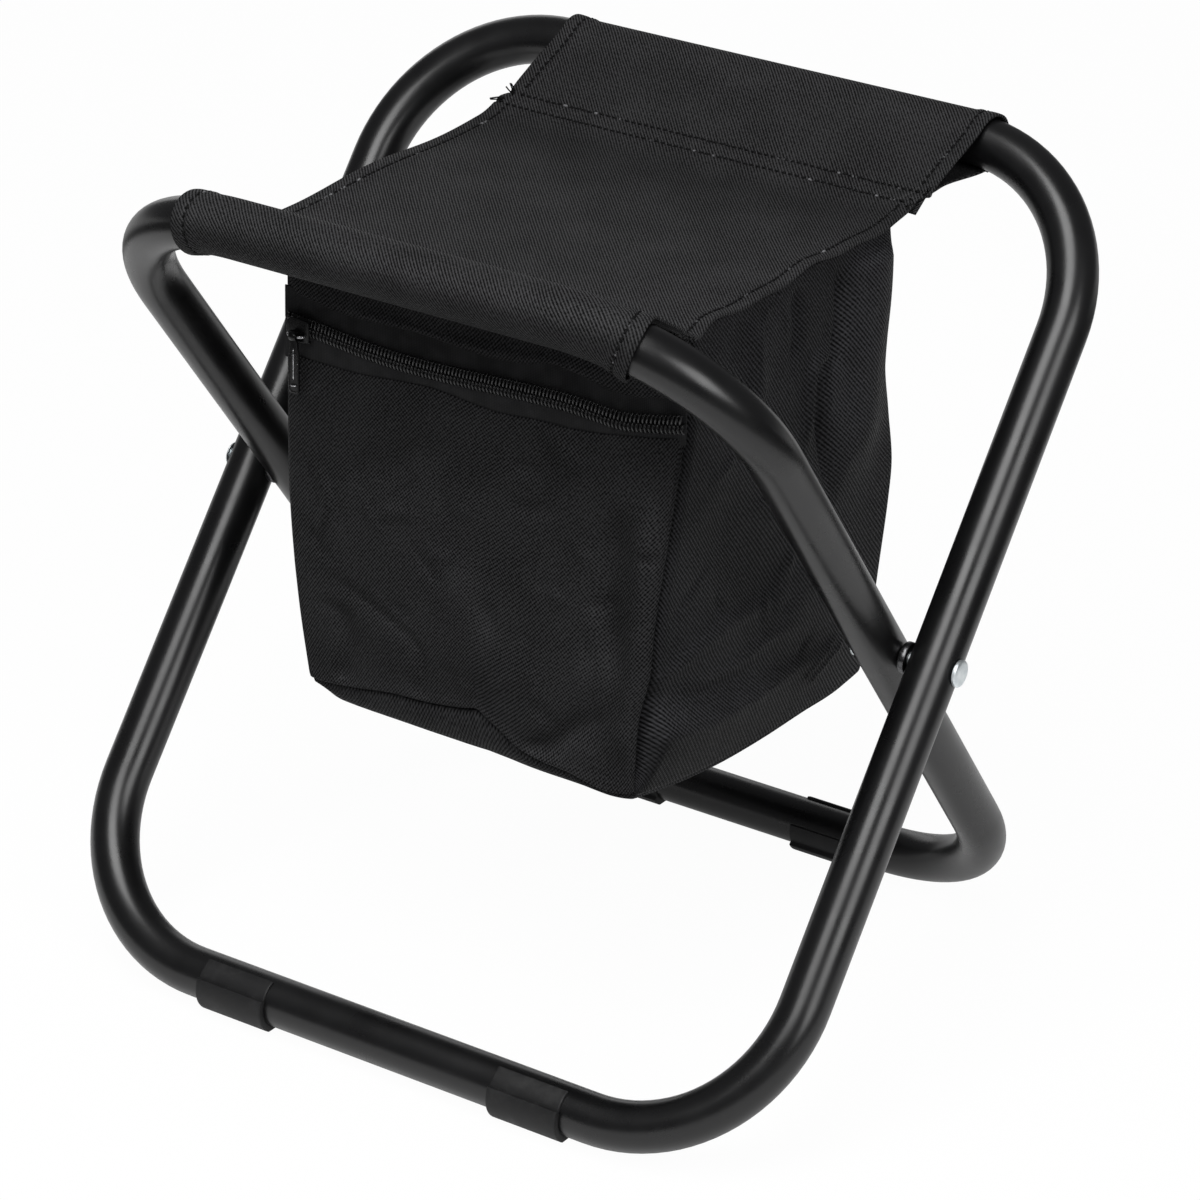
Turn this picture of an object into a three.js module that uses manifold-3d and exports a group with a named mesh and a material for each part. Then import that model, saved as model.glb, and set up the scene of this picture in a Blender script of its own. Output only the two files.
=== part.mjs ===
// Folding cooler stool: two crossed loops of bent tube, a cloth seat slung between
// their top bars and a zipped, foam-lined bag hanging under the seat.
// Millimetres, +Z up, X along the bars, -Y to the front.
// The origin is on the floor, under the pivot.
import * as THREE from 'three';
import { mergeVertices } from 'three/addons/utils/BufferGeometryUtils.js';
import Module from 'manifold-3d';

const wasm = await Module();
wasm.setup();

// Between pieces that touch
const PIECE_GAP = 0.3;
const MERGE_TOLERANCE = 1e-4;

// Frames
const TUBE_DIAMETER = 19;
const TUBE_WALL = 1;
const OUTER_LEG_SPACING = 314;
const LOOP_HEIGHT = 397;
const BEND_RADIUS = 65;
const BAR_HALF_SPREAD = 122.7;
const BUTT_GAP = 1;
const JOINER_LENGTH = 60;
const JOINER_WALL = 1.2;
const BEND_STEPS = 8;
const SLEEVE_END_STEPS = 4;
const TUBE_SIDES = 16;

// Pivot
const SPACER_THICKNESS = 2.9;
const SPACER_DIAMETER = 12.5;
const RIVET_SHANK_DIAMETER = 6.4;
const RIVET_HEAD_DIAMETER = 10.5;
const RIVET_HEAD_THICKNESS = 1.8;
const RIVET_TAIL_DIAMETER = 9.6;
const RIVET_EDGE_ROUND = 0.6;
const RIVET_CLEARANCE = 0.3;
const ROUND_SIDES = 20;

// Feet
const FOOT_LENGTH = 31;
const FRONT_FOOT_OFFSET = 68;
const REAR_FOOT_OFFSET = 48.5;
const SOLE_THICKNESS = 2.5;
const SOLE_CUT = 0.3;
const FOOT_ARM_THICKNESS = 0.9;
const FOOT_ARM_ANGLE = THREE.MathUtils.degToRad(43.5);
const FOOT_LEDGE_ANGLE = THREE.MathUtils.degToRad(4);
const FOOT_TILT = THREE.MathUtils.degToRad(29);
const FOOT_END_RADIUS = 4;
const FOOT_SECTION_STEPS = 6;
const FOOT_END_STEPS = 3;

// Cloth and seat
const CLOTH_THICKNESS = 1.2;
const SLEEVE_HALF_LENGTH = 97;
const SEAT_HALF_WIDTH = 93.5;
const SEAT_TRAY_DROP = 17;
const SEAT_SLOPE = THREE.MathUtils.degToRad(32.5);
const SEAT_BLEND_RADIUS = 26;
const SEAT_BLEND_STEPS = 4;

// Bag
const BAG_SIDE_INSET = 4.5;
const BAG_SIDE_TAPER = 12;
const BAG_BACK_TAPER = 6.5;
const BAG_BACK_SWELL = 5;
const BAG_BAR_INSET = 50.7;
const BAG_BACK_LEAN = 5.5;
const BAG_BACK_BOW = 2;
const BAG_HEIGHT = 183;
const FRONT_BULGE = 4;
const BACK_BULGE = 5;
const SIDE_BULGE = 4.5;
const BELLY_SAG = 8;
const LINING_THICKNESS = 3;
const PANEL_STEPS = 6;

// Zip
const ZIP_DROP = 39;
const TAPE_THICKNESS = 0.8;
const TAPE_WIDTH = 9;
const TEETH_WIDTH = 8;
const TEETH_HEIGHT = 2;
const TEETH_PITCH = 1.6;
const TEETH_GAP = 0.35;
const TEETH_REACH = 1.1;
const ZIP_LEFT_MARGIN = 6.5;
const ZIP_RIGHT_MARGIN = 1;
const SLIDER_LENGTH = 10.5;
const SLIDER_SHOULDER = 3.5;
const SLIDER_NOSE_WIDTH = 10;
const SLIDER_TAIL_WIDTH = 8.6;
const SLIDER_PLATE = 1.1;
const SLIDER_POST_LENGTH = 2.2;
const SLIDER_POST_WIDTH = 1.4;
const SLIDER_CORNER_GAP = 0.6;
const SLIDER_POST_INSET = 0.5;
const BAIL_BAR = 1.2;
const BAIL_SPAN = 6.4;
const PULL_LENGTH = 23;
const PULL_WIDTH = 5.6;
const PULL_NECK_WIDTH = 3.4;
const PULL_NECK_LENGTH = 4;
const PULL_THICKNESS = 1.1;
const PULL_EYE_WALL = 0.9;
const PULL_CLEARANCE = 0.3;
const ZIP_CURVE_STEPS = 5;

// Values that follow from the sizes above
const TUBE_RADIUS = TUBE_DIAMETER / 2;
const LEG_GAP = SPACER_THICKNESS + 2 * RIVET_CLEARANCE;
const INNER_LEG_SPACING = OUTER_LEG_SPACING - 2 * (TUBE_DIAMETER + LEG_GAP);
const LEAN = Math.asin((2 * BAR_HALF_SPREAD) / LOOP_HEIGHT);
const FLOOR_BAR_Z = TUBE_RADIUS + SOLE_THICKNESS;
const PIVOT_Z = FLOOR_BAR_Z + (LOOP_HEIGHT / 2) * Math.cos(LEAN);
const SEAT_BAR_Z = FLOOR_BAR_Z + LOOP_HEIGHT * Math.cos(LEAN);
const SLEEVE_BORE_RADIUS = TUBE_RADIUS + PIECE_GAP;
const SLEEVE_RADIUS = SLEEVE_BORE_RADIUS + CLOTH_THICKNESS;
const SEAT_Z = SEAT_BAR_Z - SEAT_TRAY_DROP;
const BAG_TOP_Z = SEAT_Z - CLOTH_THICKNESS - PIECE_GAP;
const BAG_BOTTOM_Z = BAG_TOP_Z - BAG_HEIGHT;
const BAG_TOP_HALF_WIDTH = SEAT_HALF_WIDTH - BAG_SIDE_INSET;
const BAG_HALF_DEPTH = BAR_HALF_SPREAD - BAG_BAR_INSET;
const ZIP_Z = BAG_TOP_Z - ZIP_DROP;
const ZIP_FACE_Y = -BAG_HALF_DEPTH;
const FRONT_PANEL_TOP_Z = ZIP_Z - TAPE_WIDTH - PIECE_GAP;
const STRIP_BOTTOM_Z = ZIP_Z + TAPE_WIDTH + PIECE_GAP;

// Finishes
const blackSteel = { color: 0x1b1b1d, roughness: 0.38, metalness: 0.4 };
const zinc = { color: 0xa9afb2, roughness: 0.28, metalness: 1 };
const darkSteel = { color: 0x3a3a3c, roughness: 0.35, metalness: 1 };
const footPlastic = { color: 0x222224, roughness: 0.55, metalness: 0 };
const blackCloth = { color: 0x1d1d1f, roughness: 0.9, metalness: 0 };
const foilFoam = { color: 0xc4c8cb, roughness: 0.3, metalness: 0.8 };
const zipNylon = { color: 0x17171a, roughness: 0.45, metalness: 0 };
const zipMetal = { color: 0x2a2a2c, roughness: 0.3, metalness: 0.9 };

const stool = new THREE.Group();

function addPiece(parent, name, geometry, finish) {
  const mesh = new THREE.Mesh(geometry, new THREE.MeshStandardMaterial(finish));
  mesh.name = name;
  parent.add(mesh);
  return mesh;
}

// Boolean helpers: a geometry becomes a solid and a solid becomes a geometry
function toSolid(geometry) {
  const bare = geometry.clone();
  bare.deleteAttribute('normal');
  bare.deleteAttribute('uv');
  const merged = mergeVertices(bare, MERGE_TOLERANCE);
  const vertProperties = new Float32Array(merged.attributes.position.array);
  const triVerts = new Uint32Array(merged.index.array);
  return new wasm.Manifold(new wasm.Mesh({ numProp: 3, vertProperties, triVerts }));
}

function toGeometry(solid) {
  const { vertProperties, triVerts } = solid.getMesh();
  const geometry = new THREE.BufferGeometry();
  geometry.setAttribute('position', new THREE.BufferAttribute(vertProperties, 3));
  geometry.setIndex(new THREE.BufferAttribute(triVerts, 1));
  geometry.computeVertexNormals();
  return geometry;
}

// A path through given stations, so that the steps are spent in the bends
class StationPath extends THREE.Curve {
  constructor(stations) {
    super();
    this.stations = stations;
  }

  getPoint(t, target = new THREE.Vector3()) {
    const last = this.stations.length - 1;
    const place = THREE.MathUtils.clamp(t, 0, 1) * last;
    const before = Math.min(Math.floor(place), last - 1);
    return target.lerpVectors(this.stations[before], this.stations[before + 1], place - before);
  }

  getUtoTmapping(u) {
    return u;
  }
}

function ringSection(outerRadius, innerRadius) {
  const section = new THREE.Shape();
  section.absarc(0, 0, outerRadius, 0, 2 * Math.PI);
  const bore = new THREE.Path();
  bore.absarc(0, 0, innerRadius, 0, 2 * Math.PI, true);
  section.holes.push(bore);
  return section;
}

function sweep(section, outline, bendSteps) {
  const stations = outline.getPoints(bendSteps / 2).map((p) => new THREE.Vector3(p.x, 0, p.y));
  return new THREE.ExtrudeGeometry(section, {
    steps: stations.length - 1,
    curveSegments: TUBE_SIDES / 2,
    extrudePath: new StationPath(stations),
  });
}

// Centre line of a frame loop about its pivot, open at the butt joint in the seat bar
function loopOutline(legSpacing) {
  const bendX = legSpacing / 2 - BEND_RADIUS;
  const bendZ = LOOP_HEIGHT / 2 - BEND_RADIUS;
  const quarter = Math.PI / 2;
  const outline = new THREE.Path();
  outline.moveTo(BUTT_GAP / 2, LOOP_HEIGHT / 2);
  outline.lineTo(JOINER_LENGTH / 2, LOOP_HEIGHT / 2);
  outline.absarc(bendX, bendZ, BEND_RADIUS, quarter, 0, true);
  outline.absarc(bendX, -bendZ, BEND_RADIUS, 0, -quarter, true);
  outline.absarc(-bendX, -bendZ, BEND_RADIUS, -quarter, -2 * quarter, true);
  outline.absarc(-bendX, bendZ, BEND_RADIUS, -2 * quarter, -3 * quarter, true);
  outline.lineTo(-BUTT_GAP / 2, LOOP_HEIGHT / 2);
  return outline;
}

// Centre line of the seat bar under its sleeve. A sleeve longer than the straight bar runs on
// into both bends.
function sleeveOutline(legSpacing) {
  const bendX = legSpacing / 2 - BEND_RADIUS;
  const bendZ = LOOP_HEIGHT / 2 - BEND_RADIUS;
  const straight = Math.min(SLEEVE_HALF_LENGTH, bendX);
  const outline = new THREE.Path();
  if (straight === SLEEVE_HALF_LENGTH) {
    outline.moveTo(-straight, LOOP_HEIGHT / 2);
    outline.lineTo(straight, LOOP_HEIGHT / 2);
    return outline;
  }
  const turn = Math.asin((SLEEVE_HALF_LENGTH - straight) / BEND_RADIUS);
  const quarter = Math.PI / 2;
  outline.absarc(-bendX, bendZ, BEND_RADIUS, quarter + turn, quarter, true);
  outline.absarc(bendX, bendZ, BEND_RADIUS, quarter, quarter - turn, true);
  return outline;
}

function alongX(geometry) {
  return geometry.rotateZ(-Math.PI / 2);
}

function frameTube(legSpacing) {
  const section = ringSection(TUBE_RADIUS, TUBE_RADIUS - TUBE_WALL);
  const tube = toSolid(sweep(section, loopOutline(legSpacing), BEND_STEPS));
  const holeRadius = RIVET_SHANK_DIAMETER / 2 + RIVET_CLEARANCE;
  const drillLength = legSpacing + 2 * TUBE_DIAMETER;
  const drill = new THREE.CylinderGeometry(holeRadius, holeRadius, drillLength, ROUND_SIDES);
  return toGeometry(tube.subtract(toSolid(alongX(drill))));
}

function joiner() {
  const radius = TUBE_RADIUS - TUBE_WALL - PIECE_GAP;
  const outline = new THREE.Path();
  outline.moveTo(-JOINER_LENGTH / 2, LOOP_HEIGHT / 2);
  outline.lineTo(JOINER_LENGTH / 2, LOOP_HEIGHT / 2);
  return sweep(ringSection(radius, radius - JOINER_WALL), outline, BEND_STEPS);
}

function sleeve(legSpacing) {
  const section = ringSection(SLEEVE_RADIUS, SLEEVE_BORE_RADIUS);
  return sweep(section, sleeveOutline(legSpacing), SLEEVE_END_STEPS);
}

// One frame stands in its own plane about the pivot and leans by its group's turn
function addFrame(side, legSpacing, lean, sleeveName) {
  const frame = new THREE.Group();
  frame.position.z = PIVOT_Z;
  frame.rotation.x = lean;
  addPiece(frame, `${side}_frame_tube`, frameTube(legSpacing), blackSteel);
  addPiece(frame, `${side}_frame_joiner`, joiner(), darkSteel);
  addPiece(frame, sleeveName, sleeve(legSpacing), blackCloth);
  stool.add(frame);
}

addFrame('outer', OUTER_LEG_SPACING, -LEAN, 'seat_rear_sleeve');
addFrame('inner', INNER_LEG_SPACING, LEAN, 'seat_front_sleeve');

// A rivet is turned about its own axis: flat head outside, shank, formed tail inside
function rivet() {
  const headFace = OUTER_LEG_SPACING / 2 + TUBE_RADIUS + RIVET_CLEARANCE;
  const tailFace = INNER_LEG_SPACING / 2 - TUBE_RADIUS - RIVET_CLEARANCE;
  const shank = RIVET_SHANK_DIAMETER / 2;
  const head = RIVET_HEAD_DIAMETER / 2;
  const tail = RIVET_TAIL_DIAMETER / 2;
  const profile = [
    [0, tailFace - RIVET_HEAD_THICKNESS],
    [tail - RIVET_EDGE_ROUND, tailFace - RIVET_HEAD_THICKNESS],
    [tail, tailFace - RIVET_HEAD_THICKNESS + RIVET_EDGE_ROUND],
    [tail, tailFace],
    [shank, tailFace],
    [shank, headFace],
    [head, headFace],
    [head, headFace + RIVET_HEAD_THICKNESS - RIVET_EDGE_ROUND],
    [head - RIVET_EDGE_ROUND, headFace + RIVET_HEAD_THICKNESS],
    [0, headFace + RIVET_HEAD_THICKNESS],
  ];
  return new THREE.LatheGeometry(profile.map(([r, y]) => new THREE.Vector2(r, y)), ROUND_SIDES);
}

function spacer() {
  const bore = RIVET_SHANK_DIAMETER / 2 + RIVET_CLEARANCE;
  const ring = new THREE.ExtrudeGeometry(ringSection(SPACER_DIAMETER / 2, bore), {
    depth: SPACER_THICKNESS,
    bevelEnabled: false,
    curveSegments: ROUND_SIDES / 2,
  });
  return ring.rotateY(Math.PI / 2);
}

const spacerStart = INNER_LEG_SPACING / 2 + TUBE_RADIUS + RIVET_CLEARANCE;
for (const [side, turn] of [['right', 0], ['left', Math.PI]]) {
  const pivot = new THREE.Group();
  pivot.position.z = PIVOT_Z;
  pivot.rotation.z = turn;
  addPiece(pivot, `pivot_rivet_${side}`, alongX(rivet()), zinc);
  addPiece(pivot, `pivot_spacer_${side}`, spacer().translate(spacerStart, 0, 0), darkSteel);
  stool.add(pivot);
}

// Clip-on foot: thin arms grip the tube, a thicker round cup with a flat sole carries it.
// The clip sits turned on its bar by tilt, its mouth towards the middle of the stool. The
// section lies in the plane across the bar, about the bar's centre.
function footSection(tilt) {
  const bore = TUBE_RADIUS + PIECE_GAP;
  const arm = bore + FOOT_ARM_THICKNESS;
  const cup = FLOOR_BAR_Z + SOLE_CUT;
  const rightTip = FOOT_ARM_ANGLE - tilt;
  const leftTip = Math.PI - FOOT_ARM_ANGLE - tilt;
  const rightLedge = -FOOT_LEDGE_ANGLE - tilt;
  const leftLedge = Math.PI + FOOT_LEDGE_ANGLE - tilt;
  const soleHalf = Math.acos(FLOOR_BAR_Z / cup);
  const down = 1.5 * Math.PI;
  const section = new THREE.Shape();
  section.moveTo(cup * Math.cos(rightLedge), cup * Math.sin(rightLedge));
  section.lineTo(arm * Math.cos(rightLedge), arm * Math.sin(rightLedge));
  section.absarc(0, 0, arm, rightLedge, rightTip, false);
  section.lineTo(bore * Math.cos(rightTip), bore * Math.sin(rightTip));
  section.absarc(0, 0, bore, rightTip, leftTip, true);
  section.absarc(0, 0, arm, leftTip, leftLedge, false);
  section.absarc(0, 0, cup, leftLedge, down - soleHalf, false);
  section.absarc(0, 0, cup, down + soleHalf, 2 * Math.PI + rightLedge, false);
  section.closePath();
  return section;
}

// Side outline of a foot: square at the arms, rounded where each end meets the sole
function footOutline() {
  const half = FOOT_LENGTH / 2;
  const round = FOOT_END_RADIUS;
  const outline = new THREE.Shape();
  outline.moveTo(-half, TUBE_DIAMETER);
  outline.lineTo(-half, 0);
  outline.absarc(-half + round, -FLOOR_BAR_Z + round, round, Math.PI, 1.5 * Math.PI, false);
  outline.absarc(half - round, -FLOOR_BAR_Z + round, round, 1.5 * Math.PI, 2 * Math.PI, false);
  outline.lineTo(half, TUBE_DIAMETER);
  outline.closePath();
  return outline;
}

function foot(tilt) {
  const across = new THREE.ExtrudeGeometry(footSection(tilt), {
    depth: FOOT_LENGTH,
    bevelEnabled: false,
    curveSegments: FOOT_SECTION_STEPS,
  });
  across.translate(0, 0, -FOOT_LENGTH / 2).rotateY(Math.PI / 2).rotateX(Math.PI / 2);
  const along = new THREE.ExtrudeGeometry(footOutline(), {
    depth: 2 * TUBE_DIAMETER,
    bevelEnabled: false,
    curveSegments: FOOT_END_STEPS,
  });
  along.translate(0, 0, -TUBE_DIAMETER).rotateX(Math.PI / 2);
  return toGeometry(toSolid(across).intersect(toSolid(along)));
}

const footRows = [
  ['front', FRONT_FOOT_OFFSET, -BAR_HALF_SPREAD, FOOT_TILT],
  ['rear', REAR_FOOT_OFFSET, BAR_HALF_SPREAD, -FOOT_TILT],
];
for (const [end, offset, y, tilt] of footRows) {
  for (const [side, sign] of [['left', -1], ['right', 1]]) {
    const piece = addPiece(stool, `foot_${end}_${side}`, foot(tilt), footPlastic);
    piece.position.set(sign * offset, y, FLOOR_BAR_Z);
  }
}

// Seat panel: a flat tray between two slopes that meet the sleeves as tangents.
// Half of the top line, from the middle of the tray to the sleeve, then the same line one
// cloth thickness lower.
function seatSection() {
  const tangentY = BAR_HALF_SPREAD - SLEEVE_RADIUS * Math.sin(SEAT_SLOPE);
  const tangentZ = SEAT_BAR_Z + SLEEVE_RADIUS * Math.cos(SEAT_SLOPE);
  const kneeY = tangentY - (tangentZ - SEAT_Z) / Math.tan(SEAT_SLOPE);
  const arcY = kneeY - SEAT_BLEND_RADIUS * Math.tan(SEAT_SLOPE / 2);
  const lowerLine = SLEEVE_RADIUS - CLOTH_THICKNESS;
  const reach = SLEEVE_RADIUS + PIECE_GAP;
  const shortOfTangent = Math.sqrt(reach * reach - lowerLine * lowerLine);
  const endY = tangentY - shortOfTangent * Math.cos(SEAT_SLOPE);
  const endZ = tangentZ - shortOfTangent * Math.sin(SEAT_SLOPE);
  const topRadius = SEAT_BLEND_RADIUS;
  const underRadius = SEAT_BLEND_RADIUS + CLOTH_THICKNESS;
  const centreZ = SEAT_Z + SEAT_BLEND_RADIUS;
  const down = -Math.PI / 2;
  const underY = endY + CLOTH_THICKNESS * Math.sin(SEAT_SLOPE);
  const underZ = endZ - CLOTH_THICKNESS * Math.cos(SEAT_SLOPE);
  const section = new THREE.Shape();
  section.moveTo(-endY, endZ);
  section.lineTo(-underY, underZ);
  section.absarc(-arcY, centreZ, underRadius, down - SEAT_SLOPE, down, false);
  section.absarc(arcY, centreZ, underRadius, down, down + SEAT_SLOPE, false);
  section.lineTo(underY, underZ);
  section.lineTo(endY, endZ);
  section.absarc(arcY, centreZ, topRadius, down + SEAT_SLOPE, down, true);
  section.absarc(-arcY, centreZ, topRadius, down, down - SEAT_SLOPE, true);
  section.closePath();
  return section;
}

const seatPanel = new THREE.ExtrudeGeometry(seatSection(), {
  depth: 2 * SEAT_HALF_WIDTH,
  bevelEnabled: false,
  curveSegments: SEAT_BLEND_STEPS,
});
seatPanel.translate(0, 0, -SEAT_HALF_WIDTH).rotateY(Math.PI / 2).rotateX(Math.PI / 2);
addPiece(stool, 'seat_panel', seatPanel, blackCloth);

// A soft sheet between a left and a right edge, each a function of the share of the way up
// as seen from outside. Its outer face swells along the sheet's normal by bulge times a half
// wave each way, and a face one thickness further in follows it.
function softSheet(leftEdge, rightEdge, thickness, bulge) {
  const rise = leftEdge(1).sub(rightEdge(0));
  const normal = rightEdge(1).sub(leftEdge(0)).cross(rise).normalize();
  const steps = bulge === 0 ? 1 : PANEL_STEPS;
  const row = steps + 1;
  const positions = [];
  for (const depth of [0, thickness]) {
    for (let j = 0; j <= steps; j += 1) {
      for (let i = 0; i <= steps; i += 1) {
        const u = i / steps;
        const v = j / steps;
        const swell = bulge * Math.sin(Math.PI * u) * Math.sin(Math.PI * v);
        const point = leftEdge(v).lerp(rightEdge(v), u).addScaledVector(normal, swell - depth);
        positions.push(point.x, point.y, point.z);
      }
    }
  }
  const index = [];
  const inner = row * row;
  const quad = (p, q, r, s) => index.push(p, q, r, p, r, s);
  for (let j = 0; j < steps; j += 1) {
    for (let i = 0; i < steps; i += 1) {
      const p = j * row + i;
      quad(p, p + 1, p + row + 1, p + row);
      quad(inner + p, inner + p + row, inner + p + row + 1, inner + p + 1);
    }
  }
  for (let k = 0; k < steps; k += 1) {
    const top = steps * row + k;
    const left = k * row;
    const right = k * row + steps;
    quad(k + 1, k, inner + k, inner + k + 1);
    quad(top, top + 1, inner + top + 1, inner + top);
    quad(left, left + row, inner + left + row, inner + left);
    quad(right + row, right, inner + right, inner + right + row);
  }
  const geometry = new THREE.BufferGeometry();
  geometry.setAttribute('position', new THREE.Float32BufferAttribute(positions, 3));
  geometry.setIndex(index);
  geometry.computeVertexNormals();
  return geometry;
}

// The bag's front narrows downwards across X and keeps its depth
function bagHalfWidth(z) {
  return BAG_TOP_HALF_WIDTH - (BAG_SIDE_TAPER * (BAG_TOP_Z - z)) / BAG_HEIGHT;
}

// The back seams narrow less, stand out sideways in the middle and lean out downwards
function backHalfWidth(drop) {
  return BAG_TOP_HALF_WIDTH - BAG_BACK_TAPER * drop + BAG_BACK_SWELL * Math.sin(Math.PI * drop);
}

function backDepth(drop) {
  return BAG_HALF_DEPTH + BAG_BACK_LEAN * drop + BAG_BACK_BOW * Math.sin(Math.PI * drop);
}

function corner(signX, signY, z, inset, insetY = inset) {
  if (signY < 0) {
    return new THREE.Vector3(signX * (bagHalfWidth(z) - inset), insetY - BAG_HALF_DEPTH, z);
  }
  const drop = (BAG_TOP_Z - z) / BAG_HEIGHT;
  return new THREE.Vector3(signX * (backHalfWidth(drop) - inset), backDepth(drop) - insetY, z);
}

function seamEdge(signX, signY, zLow, zHigh, inset, insetY = inset) {
  return (share) => corner(signX, signY, zLow + (zHigh - zLow) * share, inset, insetY);
}

function frontSheet(zLow, zHigh, inset, thickness, bulge) {
  const left = seamEdge(-1, -1, zLow, zHigh, inset);
  const right = seamEdge(1, -1, zLow, zHigh, inset);
  return softSheet(left, right, thickness, bulge);
}

// Walls stand between z limits, their outer faces inset from the bag's outline. The side
// walls run between the inner faces of the front and the back.
function addWalls(prefix, zLow, zHigh, inset, thickness, finish) {
  const between = inset + thickness + PIECE_GAP;
  const backLeft = seamEdge(1, 1, zLow, zHigh, inset);
  const backRight = seamEdge(-1, 1, zLow, zHigh, inset);
  const back = softSheet(backLeft, backRight, thickness, BACK_BULGE);
  addPiece(stool, `${prefix}_back`, back, finish);
  for (const [side, sign] of [['left', -1], ['right', 1]]) {
    const left = seamEdge(sign, -sign, zLow, zHigh, inset, between);
    const right = seamEdge(sign, sign, zLow, zHigh, inset, between);
    addPiece(stool, `${prefix}_${side}`, softSheet(left, right, thickness, SIDE_BULGE), finish);
  }
}

// A level sheet whose outer face looks down or, with its sides swapped, up
function levelSheet(z, inset, thickness, bulge, side) {
  const left = (share) => corner(-side, 1, z, inset).lerp(corner(-side, -1, z, inset), share);
  const right = (share) => corner(side, 1, z, inset).lerp(corner(side, -1, z, inset), share);
  return softSheet(left, right, thickness, bulge);
}

const wallInset = CLOTH_THICKNESS + PIECE_GAP;
const bagFront = frontSheet(BAG_BOTTOM_Z, FRONT_PANEL_TOP_Z, 0, CLOTH_THICKNESS, FRONT_BULGE);
const bagStrip = frontSheet(STRIP_BOTTOM_Z, BAG_TOP_Z, 0, CLOTH_THICKNESS, 0);
addPiece(stool, 'bag_front', bagFront, blackCloth);
addPiece(stool, 'bag_front_strip', bagStrip, blackCloth);
addWalls('bag', BAG_BOTTOM_Z, BAG_TOP_Z, 0, CLOTH_THICKNESS, blackCloth);
const bagBottom = levelSheet(BAG_BOTTOM_Z, wallInset, CLOTH_THICKNESS, BELLY_SAG, 1);
addPiece(stool, 'bag_bottom', bagBottom, blackCloth);

// Foam lining, one sheet inside each wall, the floor and the seat
const liningFloorZ = BAG_BOTTOM_Z + CLOTH_THICKNESS + PIECE_GAP;
const liningWallLow = liningFloorZ + LINING_THICKNESS + PIECE_GAP;
const liningWallHigh = BAG_TOP_Z - LINING_THICKNESS - PIECE_GAP;
const liningFront = frontSheet(
  liningWallLow,
  FRONT_PANEL_TOP_Z,
  wallInset,
  LINING_THICKNESS,
  FRONT_BULGE,
);
addPiece(stool, 'lining_front', liningFront, foilFoam);
addWalls('lining', liningWallLow, liningWallHigh, wallInset, LINING_THICKNESS, foilFoam);
const liningBottom = levelSheet(liningFloorZ, wallInset, LINING_THICKNESS, BELLY_SAG, 1);
addPiece(stool, 'lining_bottom', liningBottom, foilFoam);
const liningTop = levelSheet(BAG_TOP_Z, wallInset, LINING_THICKNESS, 0, -1);
addPiece(stool, 'lining_top', liningTop, foilFoam);

// Zip, drawn about its own middle line: X along the teeth, Y up the face, Z out of the face
const zip = new THREE.Group();
zip.position.set(0, ZIP_FACE_Y, ZIP_Z);
zip.rotation.x = Math.PI / 2;
stool.add(zip);

const zipHalfWidth = bagHalfWidth(ZIP_Z);
const teethStart = -zipHalfWidth + ZIP_LEFT_MARGIN;
const teethEnd = zipHalfWidth - ZIP_RIGHT_MARGIN;
const tapeSlit = SLIDER_POST_WIDTH / 2 + PIECE_GAP;

function zipTape(side) {
  const low = side * tapeSlit;
  const high = side * TAPE_WIDTH;
  const outline = new THREE.Shape();
  outline.moveTo(-bagHalfWidth(ZIP_Z + low), low);
  outline.lineTo(bagHalfWidth(ZIP_Z + low), low);
  outline.lineTo(bagHalfWidth(ZIP_Z + high), high);
  outline.lineTo(-bagHalfWidth(ZIP_Z + high), high);
  outline.closePath();
  const tape = new THREE.ExtrudeGeometry(outline, { depth: TAPE_THICKNESS, bevelEnabled: false });
  return tape.translate(0, 0, -TAPE_THICKNESS);
}

// One row of teeth: a rack whose zigzag edge meshes with the other row across a thin gap
function zipTeeth(side) {
  const count = Math.floor((teethEnd - teethStart) / TEETH_PITCH);
  const outline = new THREE.Shape();
  outline.moveTo(teethStart, (side * TEETH_WIDTH) / 2);
  for (let i = 0; i <= 2 * count; i += 1) {
    const reach = i % 2 === 0 ? TEETH_REACH : -TEETH_REACH;
    outline.lineTo(teethStart + (i * TEETH_PITCH) / 2, reach + side * TEETH_GAP);
  }
  outline.lineTo(teethStart + count * TEETH_PITCH, (side * TEETH_WIDTH) / 2);
  outline.closePath();
  const teeth = new THREE.ExtrudeGeometry(outline, { depth: TEETH_HEIGHT, bevelEnabled: false });
  return teeth.translate(0, 0, PIECE_GAP);
}

for (const [row, side] of [['upper', 1], ['lower', -1]]) {
  addPiece(zip, `zip_tape_${row}`, zipTape(side), blackCloth);
  addPiece(zip, `zip_teeth_${row}`, zipTeeth(side), zipNylon);
}

// Slider: two shield-shaped plates, one each side of the tape, joined at the nose by a post
// that stands between the tapes. A bail bar over the front plate carries the pull.
const sliderNose = -zipHalfWidth + CLOTH_THICKNESS + SLIDER_CORNER_GAP;
const sliderMiddle = sliderNose + SLIDER_LENGTH / 2;
const frontPlateZ = PIECE_GAP + TEETH_HEIGHT + PIECE_GAP;
const pullEyeBore = BAIL_BAR * Math.SQRT1_2 + PULL_CLEARANCE;
const pullEyeRadius = pullEyeBore + PULL_EYE_WALL;
const bailStandOff = pullEyeRadius + PULL_CLEARANCE;
const bailZ = frontPlateZ + SLIDER_PLATE + bailStandOff;

function block(width, height, depth, x, y, z) {
  return toSolid(new THREE.BoxGeometry(width, height, depth).translate(x, y, z));
}

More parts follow.
